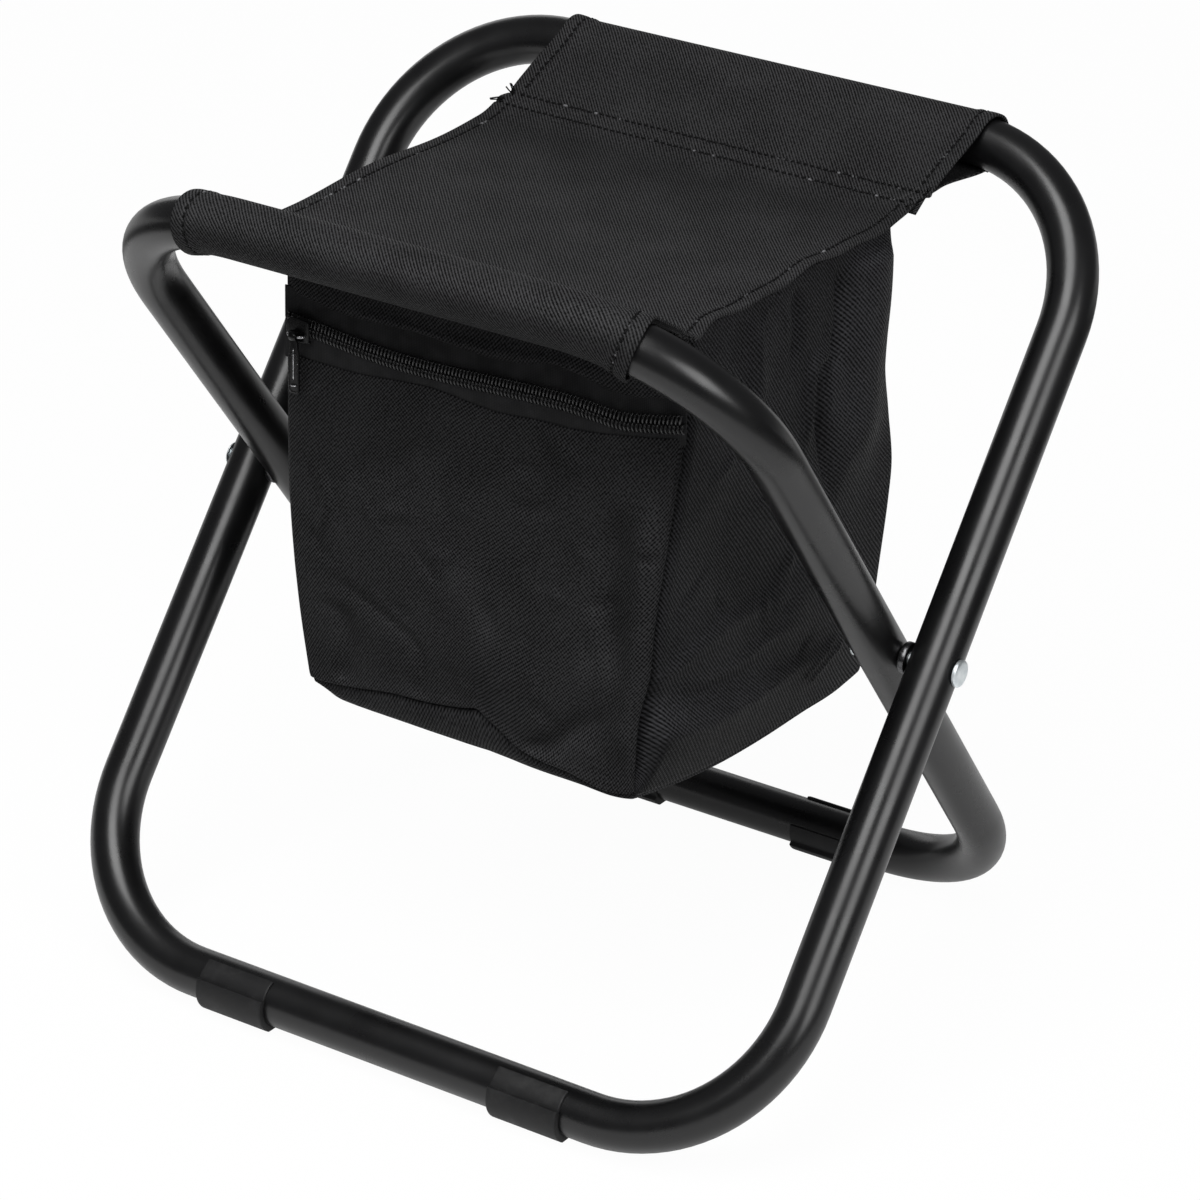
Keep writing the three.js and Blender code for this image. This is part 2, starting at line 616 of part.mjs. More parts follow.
function sliderPlate(z) {
  const nose = SLIDER_NOSE_WIDTH / 2;
  const tail = SLIDER_TAIL_WIDTH / 2;
  const shoulder = sliderNose + SLIDER_SHOULDER;
  const outline = new THREE.Shape();
  outline.moveTo(sliderNose, 0);
  outline.quadraticCurveTo(sliderNose, nose, shoulder, nose);
  outline.lineTo(sliderNose + SLIDER_LENGTH, tail);
  outline.lineTo(sliderNose + SLIDER_LENGTH, -tail);
  outline.lineTo(shoulder, -nose);
  outline.quadraticCurveTo(sliderNose, -nose, sliderNose, 0);
  const plate = new THREE.ExtrudeGeometry(outline, {
    depth: SLIDER_PLATE,
    bevelEnabled: false,
    curveSegments: ZIP_CURVE_STEPS,
  });
  return toSolid(plate.translate(0, 0, z));
}

function slider() {
  const backPlateZ = -TAPE_THICKNESS - PIECE_GAP - SLIDER_PLATE;
  const postDepth = frontPlateZ + SLIDER_PLATE - backPlateZ;
  const postX = sliderNose + SLIDER_POST_INSET + SLIDER_POST_LENGTH / 2;
  const postZ = backPlateZ + postDepth / 2;
  const post = block(SLIDER_POST_LENGTH, SLIDER_POST_WIDTH, postDepth, postX, 0, postZ);
  const legDepth = bailStandOff + BAIL_BAR / 2 + SLIDER_PLATE / 2;
  const legZ = bailZ + BAIL_BAR / 2 - legDepth / 2;
  const legX = BAIL_SPAN / 2 + BAIL_BAR / 2;
  let solid = sliderPlate(frontPlateZ).add(sliderPlate(backPlateZ)).add(post);
  solid = solid.add(block(BAIL_SPAN + 2 * BAIL_BAR, BAIL_BAR, BAIL_BAR, sliderMiddle, 0, bailZ));
  for (const sign of [-1, 1]) {
    solid = solid.add(block(BAIL_BAR, BAIL_BAR, legDepth, sliderMiddle + sign * legX, 0, legZ));
  }
  return toGeometry(solid);
}

addPiece(zip, 'zip_slider', slider(), zipMetal);

// Pull: a flat tongue that hangs from an eye round the bail bar, narrow at the neck
function pull() {
  const eye = new THREE.ExtrudeGeometry(ringSection(pullEyeRadius, pullEyeBore), {
    depth: PULL_NECK_WIDTH,
    bevelEnabled: false,
    curveSegments: 2 * ZIP_CURVE_STEPS,
  });
  eye.translate(0, 0, -PULL_NECK_WIDTH / 2).rotateY(Math.PI / 2);
  const wide = PULL_WIDTH / 2;
  const neck = PULL_NECK_WIDTH / 2;
  const neckEnd = -pullEyeRadius - PULL_NECK_LENGTH;
  const bottom = -PULL_LENGTH;
  const tongue = new THREE.Shape();
  tongue.moveTo(-neck, -pullEyeBore - PULL_EYE_WALL / 2);
  tongue.quadraticCurveTo(-neck, neckEnd, -wide, neckEnd - wide);
  tongue.absarc(0, bottom + wide, wide, Math.PI, 2 * Math.PI, false);
  tongue.lineTo(wide, neckEnd - wide);
  tongue.quadraticCurveTo(neck, neckEnd, neck, -pullEyeBore - PULL_EYE_WALL / 2);
  tongue.closePath();
  const plate = new THREE.ExtrudeGeometry(tongue, {
    depth: PULL_THICKNESS,
    bevelEnabled: false,
    curveSegments: ZIP_CURVE_STEPS,
  });
  plate.translate(0, 0, -PULL_THICKNESS / 2);
  return toGeometry(toSolid(eye).add(toSolid(plate)));
}

const pullPiece = addPiece(zip, 'zip_pull', pull(), zipMetal);
pullPiece.position.set(sliderMiddle, 0, bailZ);

export default stool;
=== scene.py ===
import bmesh
import bpy
import numpy as np
from mathutils import Matrix


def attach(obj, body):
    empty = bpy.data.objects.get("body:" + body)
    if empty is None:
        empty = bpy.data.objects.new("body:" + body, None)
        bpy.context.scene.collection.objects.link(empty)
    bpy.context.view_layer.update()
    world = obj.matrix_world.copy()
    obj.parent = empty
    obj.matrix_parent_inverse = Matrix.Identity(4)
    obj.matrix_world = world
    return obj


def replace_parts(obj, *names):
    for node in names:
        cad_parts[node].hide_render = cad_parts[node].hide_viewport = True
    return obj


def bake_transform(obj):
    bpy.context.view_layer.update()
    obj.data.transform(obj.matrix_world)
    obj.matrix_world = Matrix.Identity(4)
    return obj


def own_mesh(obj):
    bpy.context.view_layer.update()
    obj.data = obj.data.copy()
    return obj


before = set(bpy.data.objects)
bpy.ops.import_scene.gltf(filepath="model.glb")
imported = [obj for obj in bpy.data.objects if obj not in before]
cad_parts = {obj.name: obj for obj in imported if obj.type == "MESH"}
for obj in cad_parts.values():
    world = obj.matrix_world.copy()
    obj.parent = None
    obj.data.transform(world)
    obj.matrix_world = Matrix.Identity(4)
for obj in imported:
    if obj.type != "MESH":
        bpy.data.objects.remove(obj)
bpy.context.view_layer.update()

# Sizes in millimetres: X along the bars, -Y to the front, +Z up, the floor at 0
MM = 0.001
TUBE_RADIUS = 9.75
TUBE_BORE = 8.5
LOOP_HALF = 198.5
BEND_RADIUS = 65.0
BAR_SPREAD = 122.7
FLOOR_BAR_Z = 12.0
OUTER_HALF = 157.0
INNER_HALF = 134.5
LEAN = np.arcsin(BAR_SPREAD / LOOP_HALF)
PIVOT_Z = FLOOR_BAR_Z + LOOP_HALF * np.cos(LEAN)
SEAT_BAR_Z = FLOOR_BAR_Z + 2 * LOOP_HALF * np.cos(LEAN)
SEAT_Z = SEAT_BAR_Z - 17.0
CLOTH = 1.0
SLEEVE_RADIUS = TUBE_RADIUS + 0.3 + CLOTH
SEAT_HALF = 95.5
SEAT_SLOPE = np.radians(32.5)
STITCH_Y = 85.3
STITCH_GAP = 6.0
HEM_STITCH = 5.5
SEAT_FILLET = 26.0
# How far the seat cloth lies to the right: on the tray, on the front bar and on the back bar
TRAY_SHIFT, FRONT_SHIFT, REAR_SHIFT = -2.0, 6.0, 5.8
BAG_TOP = 305.6
BAG_WIDTH, BAG_DEPTH, BAG_WALL, BOTTOM_WIDTH = 172.0, 150.0, 140.0, 150.0
LINING_TOP, LINING_FOOT = 299.0, 124.5
ZIP_Z = 266.57
ZIP_Y = -72.0
COIL_PITCH = 1.6
COIL_START, COIL_TURNS = -85.0, 108
TAPE_ENDS = (-87.0, 88.6)
TAPE_THICKNESS = 0.6
HINGE = np.array([-77.59, -78.05, ZIP_Z])
BODY_RISE = 1.6
FOOT_BORE, FOOT_ARM, FOOT_CUP, FOOT_LENGTH = 9.8, 10.7, 12.3, 31.0
# Heights along the front, as (x, z): the zip's middle, and the cloth's edges above and below it
ZIP_LINE = [(-90, 269.6), (-75, 269.2), (-65, 268.2), (-43, 266.2), (-32, 265.8), (-10, 266.2), (10, 267.2),
            (28, 268.0), (44, 268.3), (54, 267.6), (65, 267.1), (75, 268.2), (91, 270.9)]
STRIP_EDGE = [(-91, 280.6), (-74, 279.4), (-63, 277.7), (-40, 277.8), (-28, 278.4), (-11, 277.4), (7, 276.5),
              (22, 278.0), (34, 280.7), (45, 279.6), (58, 277.1), (69, 276.7), (83, 278.7), (92, 279.8)]
PANEL_EDGE = [(-91, 256.2), (-52, 255.9), (-21, 258.4), (12, 256.4), (28, 257.8), (44, 258.3), (54, 259.4),
              (65, 261.1), (75, 262.4), (91, 264.8)]


# Arithmetic on whole arrays

def unit(v):
    """Vectors divided by their own length."""
    return v / np.maximum(np.linalg.norm(v, axis=-1, keepdims=True), 1e-12)


def ease(t):
    """Smooth step: 3t squared minus 2t cubed, held at 0 and 1 outside."""
    t = np.clip(t, 0.0, 1.0)
    return t * t * (3.0 - 2.0 * t)


def through(points, share):
    """Smooth curve through points: a cubic between neighbours whose slopes are the
    central differences along the chord length, read at shares 0 to 1 of it."""
    points = np.asarray(points, float)
    chord = np.r_[0.0, np.cumsum(np.linalg.norm(np.diff(points, axis=0), axis=1))]
    slope = np.gradient(points, chord, axis=0)
    at = np.asarray(share, float) * chord[-1]
    k = np.clip(np.searchsorted(chord, at, side="right") - 1, 0, len(chord) - 2)
    span = (chord[k + 1] - chord[k])[:, None]
    t = ((at - chord[k])[:, None]) / span
    return ((2 * t**3 - 3 * t**2 + 1) * points[k] + (t**3 - 2 * t**2 + t) * span * slope[k]
            + (3 * t**2 - 2 * t**3) * points[k + 1] + (t**3 - t**2) * span * slope[k + 1])


def graded(length, step, start=True, end=True):
    """Shares 0 to 1 along a length: even steps, closing up towards a sewn start or end."""
    edge = np.array([0.0, 0.45, 0.9, 1.4, 2.0, 2.8, 3.8, 5.0])
    low = edge if start else np.array([0.0])
    high = length - (edge if end else np.array([0.0]))[::-1]
    inner = np.linspace(low[-1], high[0], max(3, int(round((high[0] - low[-1]) / step)) + 1))
    return np.r_[low[:-1], inner, high[1:]] / length


def height_along(knots, x):
    """Height at x on a smooth curve through (x, z) knots."""
    fine = through(knots, np.linspace(0, 1, 300))
    return np.interp(x, fine[:, 0], fine[:, 1])


def path_distance(points, path):
    """Distance of points from a broken line, the side of it, and the share along it."""
    start, along = path[:-1], np.diff(path, axis=0)
    length = np.linalg.norm(along, axis=1)
    best = np.full(len(points), np.inf)
    side = np.zeros(len(points))
    share = np.zeros(len(points))
    before = np.r_[0.0, np.cumsum(length)]
    for a, d, l, b in zip(start, along, length, before):
        t = np.clip(((points - a) @ d) / (l * l), 0.0, 1.0)
        off = points - (a + t[:, None] * d)
        far = np.linalg.norm(off, axis=1)
        nearer = far < best
        best = np.where(nearer, far, best)
        share = np.where(nearer, (b + t * l) / before[-1], share)
        if points.shape[1] == 2:
            side = np.where(nearer, np.sign(d[0] * off[:, 1] - d[1] * off[:, 0]), side)
    return best, side, share


# Meshes from grids

def quads(rows, cols, ring=False):
    """Corner numbers between row i and i + 1, column j and j + 1; a ring's last column
    meets its first."""
    i, j = np.mgrid[0:rows - 1, 0:cols if ring else cols - 1]
    i, j = i.ravel(), j.ravel()
    k = (j + 1) % cols
    return np.stack([i * cols + j, i * cols + k, (i + 1) * cols + k, (i + 1) * cols + j], 1)


def grid_uv(u, v):
    """UV of each quad corner, in metres, from two arrays over a grid of points."""
    uv = np.stack([u, v], -1) * MM
    a, b, c, d = uv[:-1, :-1], uv[:-1, 1:], uv[1:, 1:], uv[1:, :-1]
    return np.stack([a, b, c, d], 2).reshape(-1, 2)


def add_piece(name, points, faces, finish, uv=None, closed=True, sharp=None):
    """A mesh piece at the origin, from points in millimetres and lists of faces."""
    mesh = bpy.data.meshes.new(name)
    rows = [face for part in faces for face in np.asarray(part).tolist()]
    mesh.from_pydata((np.asarray(points).reshape(-1, 3) * MM).tolist(), [], rows)
    if uv is not None:
        mesh.uv_layers.new(name="cloth").data.foreach_set("uv", np.asarray(uv, np.float32).ravel())
    if closed:
        shell = bmesh.new()
        shell.from_mesh(mesh)
        bmesh.ops.recalc_face_normals(shell, faces=shell.faces)
        shell.to_mesh(mesh)
        shell.free()
    mesh.polygons.foreach_set("use_smooth", np.ones(len(mesh.polygons), bool))
    if sharp is not None:
        mesh.set_sharp_from_angle(angle=np.radians(sharp))
    mesh.materials.append(finish)
    piece = bpy.data.objects.new(name, mesh)
    bpy.context.scene.collection.objects.link(piece)
    return piece


def ring_faces(rings):
    """Rings of points with the walls between them and both flat ends."""
    rows, cols = rings.shape[:2]
    ends = [np.arange(cols)[None, ::-1], np.arange(cols)[None] + (rows - 1) * cols]
    return rings, [quads(rows, cols, True), *ends]


def add_rings(name, rings, finish, sharp=None, hoop=False):
    """Closed piece from rings of points: walls between neighbours, and either a flat
    end on the first and last or, for a hoop, a wall from the last to the first."""
    rows, cols = rings.shape[:2]
    if hoop:
        rings = np.concatenate([rings, rings[:1]])
        faces = [quads(rows + 1, cols, True) % (rows * cols)]
        return add_piece(name, rings[:-1], faces, finish, sharp=sharp)
    return add_piece(name, *ring_faces(rings), finish, sharp=sharp)


def thicken(piece, thickness):
    """Cloth thickness, laid inwards from the outer face."""
    wall = piece.modifiers.new("thickness", "SOLIDIFY")
    wall.thickness = thickness * MM
    wall.offset = -1.0


def add_painted_light(piece, dust_and_painted_light):
    """Painted light and shade of a cloth, point by point, which its finish reads as a share of its colour."""
    layer = piece.data.attributes.new("dust_and_painted_light", "FLOAT", "POINT")
    layer.data.foreach_set("value", dust_and_painted_light.ravel().astype(np.float32))


def sweep(paths, radius, sides, guide):
    """Round wires: each path carries a circle across its own direction, set out from
    the guide direction, and ends in flat caps. Returns points and faces."""
    paths = np.asarray(paths, float)
    count, rows = paths.shape[:2]
    along = unit(np.gradient(paths, axis=1))
    first = unit(np.asarray(guide, float) - (along @ np.asarray(guide, float))[..., None] * along)
    second = np.cross(along, first)
    turn = np.arange(sides) * 2 * np.pi / sides
    width = np.broadcast_to(np.asarray(radius, float), (count, rows))[..., None, None]
    circle = np.cos(turn)[:, None] * first[:, :, None] + np.sin(turn)[:, None] * second[:, :, None]
    points = paths[:, :, None] + width * circle
    offset = np.arange(count)[:, None, None] * rows * sides
    walls = (quads(rows, sides, True)[None] + offset).reshape(-1, 4)
    low = (np.arange(sides)[None, None, ::-1] + offset).reshape(-1, sides)
    high = (np.arange(sides)[None, None] + (rows - 1) * sides + offset).reshape(-1, sides)
    return points.reshape(-1, 3), [walls, low, high]


# Finishes

def new_finish(name, colour, roughness, metallic=0.0, specular=0.5):
    """A material with one principled shader, its plain values on the shader's sockets."""
    finish = bpy.data.materials.new(name)
    finish.use_nodes = True
    shader = finish.node_tree.nodes["Principled BSDF"]
    plain = {"Base Color": (*colour, 1.0), "Roughness": roughness, "Metallic": metallic,
             "Specular IOR Level": specular}
    for socket, value in plain.items():
        shader.inputs[socket].default_value = value
    return finish, shader


def add_node(finish, kind, inputs=(), **settings):
    """A shader node with its settings and its inputs, each a value or another socket."""
    made = finish.node_tree.nodes.new(kind)
    for key, value in settings.items():
        setattr(made, key, value)
    for key, value in dict(inputs).items():
        if isinstance(value, bpy.types.NodeSocket):
            finish.node_tree.links.new(value, made.inputs[key])
        else:
            made.inputs[key].default_value = value
    return made


def place(finish, source="Object"):
    """Where on the piece a pattern is read: object metres, or the cloth's own metres."""
    return add_node(finish, "ShaderNodeTexCoord").outputs[source]


def noise(finish, where, scale, detail=3.0, rough=0.55):
    """Cloudy pattern of a given number of cells a metre."""
    made = add_node(finish, "ShaderNodeTexNoise",
                    {"Vector": where, "Scale": scale, "Detail": detail, "Roughness": rough})
    return made.outputs["Fac"]


def between(finish, value, low, high, start=0.0, end=1.0):
    """A value mapped from start..end to low..high and held there."""
    made = add_node(finish, "ShaderNodeMapRange",
                    {"Value": value, "From Min": start, "From Max": end, "To Min": low, "To Max": high})
    return made.outputs["Result"]


def tint(finish, share, dark, light):
    """Colour between dark and light by a share."""
    made = add_node(finish, "ShaderNodeMix",
                    {0: share, 6: (*dark, 1.0), 7: (*light, 1.0)}, data_type="RGBA")
    return made.outputs[2]


def sum_of(finish, kind, a, b):
    """Two values put together: ADD, MULTIPLY and so on."""
    made = add_node(finish, "ShaderNodeMath", {0: a, 1: b}, operation=kind)
    return made.outputs[0]


def wire(finish, socket, shader, name):
    """Joins an output to a named input."""
    finish.node_tree.links.new(socket, shader.inputs[name])


def relief(finish, shader, height, distance, strength):
    """Small relief on the shader's normal, of a given height in millimetres."""
    made = add_node(finish, "ShaderNodeBump",
                    {"Height": height, "Distance": distance * MM, "Strength": strength})
    wire(finish, made.outputs["Normal"], shader, "Normal")


def paint_finish():
    """Satin black stoving paint: fine orange peel, faint cloudiness and a few dust specks."""
    finish, shader = new_finish("black_satin_paint", (0.004, 0.004, 0.0042), 0.28, specular=0.5)
    where = place(finish)
    cloud = noise(finish, where, 45.0, 4.0)
    peel = noise(finish, where, 900.0, 2.0)
    specks = noise(finish, where, 520.0, 1.0)
    dust_and_painted_light = between(finish, specks, 0.0, 1.0, 0.75, 0.82)
    wire(finish, tint(finish, sum_of(finish, "ADD", between(finish, cloud, 0.0, 0.5), dust_and_painted_light),
                      (0.003, 0.003, 0.0032), (0.008, 0.008, 0.0084)), shader, "Base Color")
    wire(finish, between(finish, cloud, 0.25, 0.33, 0.3, 0.7), shader, "Roughness")
    relief(finish, shader, peel, 0.04, 0.25)
    return finish


def metal_finish(name, dark, light, roughness, brush):
    """Plated or bare metal: fine turned lines, blotches and a varying polish."""
    finish, shader = new_finish(name, light, roughness, metallic=1.0)
    where = place(finish)
    turned = add_node(finish, "ShaderNodeMapping", {"Vector": where, "Scale": brush}).outputs["Vector"]
    lines = noise(finish, turned, 900.0, 3.0)
    blotch = noise(finish, where, 260.0, 4.0)
    wire(finish, tint(finish, between(finish, blotch, 0.0, 1.0, 0.3, 0.7), dark, light), shader, "Base Color")
    wire(finish, between(finish, lines, roughness - 0.08, roughness + 0.12, 0.3, 0.7), shader, "Roughness")
    relief(finish, shader, lines, 0.03, 0.3)
    return finish


def foot_finish():
    """Moulded black plastic: fine matt grain, scuffs towards grey on the sole."""
    finish, shader = new_finish("foot_plastic", (0.01, 0.01, 0.0104), 0.55, specular=0.3)
    where = place(finish)
    grain = noise(finish, where, 2600.0, 2.0)
    scuff = noise(finish, where, 130.0, 5.0, 0.7)
    wire(finish, tint(finish, between(finish, scuff, 0.0, 1.0, 0.5, 0.75), (0.008, 0.008, 0.0084),
                      (0.022, 0.022, 0.022)), shader, "Base Color")
    wire(finish, between(finish, scuff, 0.46, 0.66, 0.35, 0.7), shader, "Roughness")
    relief(finish, shader, grain, 0.05, 0.4)
    return finish


def cloth_finish(name, dark, light, pitch, slant, cross, depth, specular, rough):
    """Woven twill read from the cloth's own metres: ribs of a given pitch in millimetres
    and slant in degrees, a fainter set that slants the other way, slubs and faint clouds."""
    finish, shader = new_finish(name, light, rough, specular=specular)
    where = place(finish, "UV")
    slubs = noise(finish, where, 900.0, 2.0)
    sway = add_node(finish, "ShaderNodeTexNoise", {"Vector": where, "Scale": 90.0}).outputs["Color"]
    shifted = add_node(finish, "ShaderNodeVectorMath", {0: sway, 1: (0.0004, 0.0004, 0.0)},
                       operation="MULTIPLY").outputs[0]
    swayed = add_node(finish, "ShaderNodeVectorMath", {0: where, 1: shifted}, operation="ADD").outputs[0]
    per_metre = 2 * np.pi / (20.0 * pitch * MM)
    sets = []
    for turn in (np.radians(slant), -np.radians(slant)):
        laid = add_node(finish, "ShaderNodeMapping", {"Vector": swayed, "Rotation": (0.0, 0.0, turn)})
        band = add_node(finish, "ShaderNodeTexWave", {"Vector": laid.outputs["Vector"], "Scale": per_metre},
                        wave_type="BANDS", bands_direction="X", wave_profile="SIN").outputs["Fac"]
        sets.append(between(finish, band, 0.0, 1.0, 0.15, 0.85))
    ribs = sum_of(finish, "MULTIPLY", sets[0], 1 - cross)
    weave = sum_of(finish, "ADD", ribs, sum_of(finish, "MULTIPLY", sets[1], cross))
    height = sum_of(finish, "ADD", weave, between(finish, slubs, -0.3, 0.3, 0.3, 0.7))
    cloud = noise(finish, where, 40.0, 4.0)
    shade = sum_of(finish, "ADD", height, between(finish, cloud, -0.12, 0.12, 0.3, 0.7))
    # Painted light and shade: a point attribute makes the colour paler above 0 and darker below it
    dust_and_painted_light = add_node(finish, "ShaderNodeAttribute", attribute_name="dust_and_painted_light").outputs["Fac"]
    painted_light_colour = add_node(finish, "ShaderNodeVectorMath", {0: tint(finish, shade, dark, light)}, operation="SCALE")
    wire(finish, sum_of(finish, "ADD", dust_and_painted_light, 1.0), painted_light_colour, "Scale")
    wire(finish, painted_light_colour.outputs["Vector"], shader, "Base Color")
    wire(finish, between(finish, height, rough + 0.2, rough - 0.1), shader, "Roughness")
    relief(finish, shader, height, depth, 0.7)
    return finish


def tape_finish(name, dark, light):
    """Zip tape: close plain weave of fine ribs across the tape, and soft clouds."""
    finish, shader = new_finish(name, light, 0.85, specular=0.1)
    where = place(finish)
    rib = add_node(finish, "ShaderNodeTexWave", {"Vector": where, "Scale": 520.0, "Distortion": 0.6},
                   wave_type="BANDS", bands_direction="Z").outputs["Fac"]
    pick = add_node(finish, "ShaderNodeTexWave", {"Vector": where, "Scale": 430.0, "Distortion": 0.6},
                    wave_type="BANDS", bands_direction="X").outputs["Fac"]
    weave = sum_of(finish, "MULTIPLY", rib, pick)
    cloud = between(finish, noise(finish, where, 120.0, 3.0), -0.3, 0.5, 0.3, 0.7)
    wire(finish, tint(finish, sum_of(finish, "ADD", weave, cloud), dark, light), shader, "Base Color")
    wire(finish, between(finish, weave, 0.92, 0.7), shader, "Roughness")
    relief(finish, shader, weave, 0.08, 0.5)
    return finish


def nylon_finish(name, colour, roughness):
    """Drawn nylon or thread: smooth, slightly uneven gloss."""
    finish, shader = new_finish(name, colour, roughness, specular=0.5)
    where = place(finish)
    uneven = noise(finish, where, 1500.0, 2.0)
    pale = tuple(1.7 * c for c in colour)
    share = between(finish, uneven, 0.0, 1.0, 0.35, 0.7)
    wire(finish, tint(finish, share, colour, pale), shader, "Base Color")
    wire(finish, between(finish, uneven, roughness - 0.08, roughness + 0.12, 0.3, 0.7), shader, "Roughness")
    relief(finish, shader, uneven, 0.02, 0.3)
    return finish


def thread_finish():
    """Black sewing thread: fine ply lines and a few pale specks, painted highlights on the stitches."""
    finish, shader = new_finish("black_thread", (0.004, 0.004, 0.0042), 0.6, specular=0.1)
    where = place(finish)
    ply = noise(finish, where, 2400.0, 2.0)
    painted_highlight = between(finish, noise(finish, where, 230.0, 1.0), 0.0, 1.0, 0.63, 0.7)
    wire(finish, tint(finish, painted_highlight, (0.003, 0.003, 0.0032), (0.13, 0.13, 0.135)), shader, "Base Color")
    wire(finish, between(finish, ply, 0.5, 0.75, 0.3, 0.7), shader, "Roughness")
    relief(finish, shader, ply, 0.04, 0.4)
    return finish


def enamel_finish():
    """Black enamelled zip metal, rubbed through to bright metal in a few spots."""
    finish, shader = new_finish("zip_black_enamel", (0.005, 0.005, 0.0053), 0.35, specular=0.25)
    where = place(finish)
    rub = noise(finish, where, 420.0, 2.0)
    bare = between(finish, rub, 0.0, 1.0, 0.7, 0.76)
    wire(finish, tint(finish, bare, (0.006, 0.006, 0.0063), (0.6, 0.6, 0.62)), shader, "Base Color")
    wire(finish, bare, shader, "Metallic")
    wire(finish, between(finish, rub, 0.36, 0.22, 0.3, 0.7), shader, "Roughness")
    relief(finish, shader, rub, 0.03, 0.2)
    return finish


def foil_finish():
    """Foil-faced foam: bright film with fine crinkles and a quilt of pressed cells."""
    finish, shader = new_finish("lining_foil", (0.62, 0.64, 0.66), 0.34, metallic=0.85)
    where = place(finish)
    cells = add_node(finish, "ShaderNodeTexVoronoi", {"Vector": where, "Scale": 160.0}).outputs["Distance"]
    crinkle = noise(finish, where, 380.0, 5.0, 0.65)
    height = sum_of(finish, "ADD", cells, crinkle)
    wire(finish, tint(finish, crinkle, (0.45, 0.46, 0.48), (0.72, 0.74, 0.76)), shader, "Base Color")
    wire(finish, between(finish, crinkle, 0.22, 0.48, 0.3, 0.7), shader, "Roughness")
    relief(finish, shader, height, 0.4, 0.5)
    return finish


PAINT = paint_finish()
ZINC = metal_finish("zinc_plate", (0.66, 0.71, 0.73), (0.86, 0.9, 0.91), 0.44, (0.25, 1.0, 1.0))
DARK_STEEL = metal_finish("dark_steel", (0.05, 0.05, 0.052), (0.16, 0.16, 0.165), 0.3, (0.2, 1.0, 1.0))
FOOT_PLASTIC = foot_finish()
# One black twill in three tones: the seat's copy is painted lighter and the side panels' copy darker than the
# bag's, as painted light and shade for how the light falls on them; pitch, slant and gloss also differ
SEAT_CLOTH = cloth_finish("seat_twill", (0.001, 0.001, 0.0011), (0.044, 0.044, 0.0455),
                          pitch=1.11, slant=-41.5, cross=0.15, depth=0.3, specular=0.12, rough=0.62)
BAG_CLOTH = cloth_finish("bag_twill", (0.0006, 0.0006, 0.0007), (0.0335, 0.0335, 0.035),
                         pitch=1.155, slant=41.5, cross=0.38, depth=0.3, specular=0.1, rough=0.65)
SIDE_CLOTH = cloth_finish("side_twill", (0.0004, 0.0004, 0.0005), (0.0255, 0.0255, 0.0278),
                          pitch=1.4, slant=-41.8, cross=0.2, depth=0.45, specular=0.12, rough=0.55)
# One tape in two tones: the upper tape's copy is painted darker, as painted shade under the strip above it
TAPE_PAINTED_SHADE = tape_finish("zip_tape_painted_shade", (0.012, 0.012, 0.0125), (0.03, 0.03, 0.031))
TAPE_LOWER = tape_finish("zip_tape_weave", (0.018, 0.018, 0.0185), (0.034, 0.034, 0.035))
COIL_NYLON = nylon_finish("zip_coil_nylon", (0.012, 0.012, 0.0126), 0.24)
THREAD = thread_finish()
ENAMEL = enamel_finish()
RUBBED_METAL = metal_finish("zip_rubbed_metal", (0.3, 0.3, 0.31), (0.7, 0.7, 0.72), 0.2, (1.0, 1.0, 0.3))
FOIL = foil_finish()


def finish_piece(piece, slot, *nodes):
    """Hides the nodes that the piece stands for, and returns the piece. The slot is not used."""
    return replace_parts(piece, *nodes) if nodes else piece


# Frame loops

def leaning(side):
    """Up along a leaning loop, and straight out of its plane."""
    up = np.array([0.0, side * np.sin(LEAN), np.cos(LEAN)])
    return up, np.cross([1.0, 0.0, 0.0], up)


def frame_loop(name, half_width, side):
    """A circle carried round a rounded rectangle that leans about the pivot: straight
    runs joined by quarter bends, from one butt end of the top bar to the other, and
    35 mm back into each end as the tube's bore."""
    up, across = leaning(side)
    corners = [(1, 1, 90), (1, -1, 0), (-1, -1, -90), (-1, 1, -180)]
    centres, angles = [], []
    for along, rise, start in corners:
        turn = np.radians(np.linspace(start, start - 90, 25))
        centre = np.array([along * (half_width - BEND_RADIUS), rise * (LOOP_HALF - BEND_RADIUS)])
        centres.append(centre + BEND_RADIUS * np.stack([np.cos(turn), np.sin(turn)], 1))
        angles.append(turn)
    butt = np.array([[35.5, TUBE_BORE], [0.5, TUBE_BORE], [0.5, 9.2], [0.8, TUBE_RADIUS]])
    ends = np.stack([butt[:, 0], np.full(4, LOOP_HALF)], 1)
    line = np.concatenate([ends, *centres, ends[::-1] * [-1, 1]])
    turn = np.concatenate([np.full(4, np.pi / 2), *angles, np.full(4, -1.5 * np.pi)])
    bends = np.full(len(line) - 8, TUBE_RADIUS)
    radius = np.concatenate([butt[:, 1], bends, butt[::-1, 1]])
    centre = line[:, :1] * [1.0, 0.0, 0.0] + line[:, 1:] * up + [0.0, 0.0, PIVOT_Z]
    outward = np.cos(turn)[:, None] * [1.0, 0.0, 0.0] + np.sin(turn)[:, None] * up
    spin = np.arange(48) * 2 * np.pi / 48
    circle = np.cos(spin)[:, None] * outward[:, None] + np.sin(spin)[:, None] * across
    rings = centre[:, None] + radius[:, None, None] * circle
    return add_rings(name, rings, PAINT, sharp=50)


outer = frame_loop("outer_loop", OUTER_HALF, 1)
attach(finish_piece(outer, "frame_paint", "outer_frame_tube"), "outer_frame")
inner = frame_loop("inner_loop", INNER_HALF, -1)
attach(finish_piece(inner, "frame_paint", "inner_frame_tube"), "inner_frame")
for joiner in ("outer_frame_joiner", "inner_frame_joiner"):
    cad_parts[joiner].data.materials.clear()
    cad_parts[joiner].data.materials.append(DARK_STEEL)


# Pivots

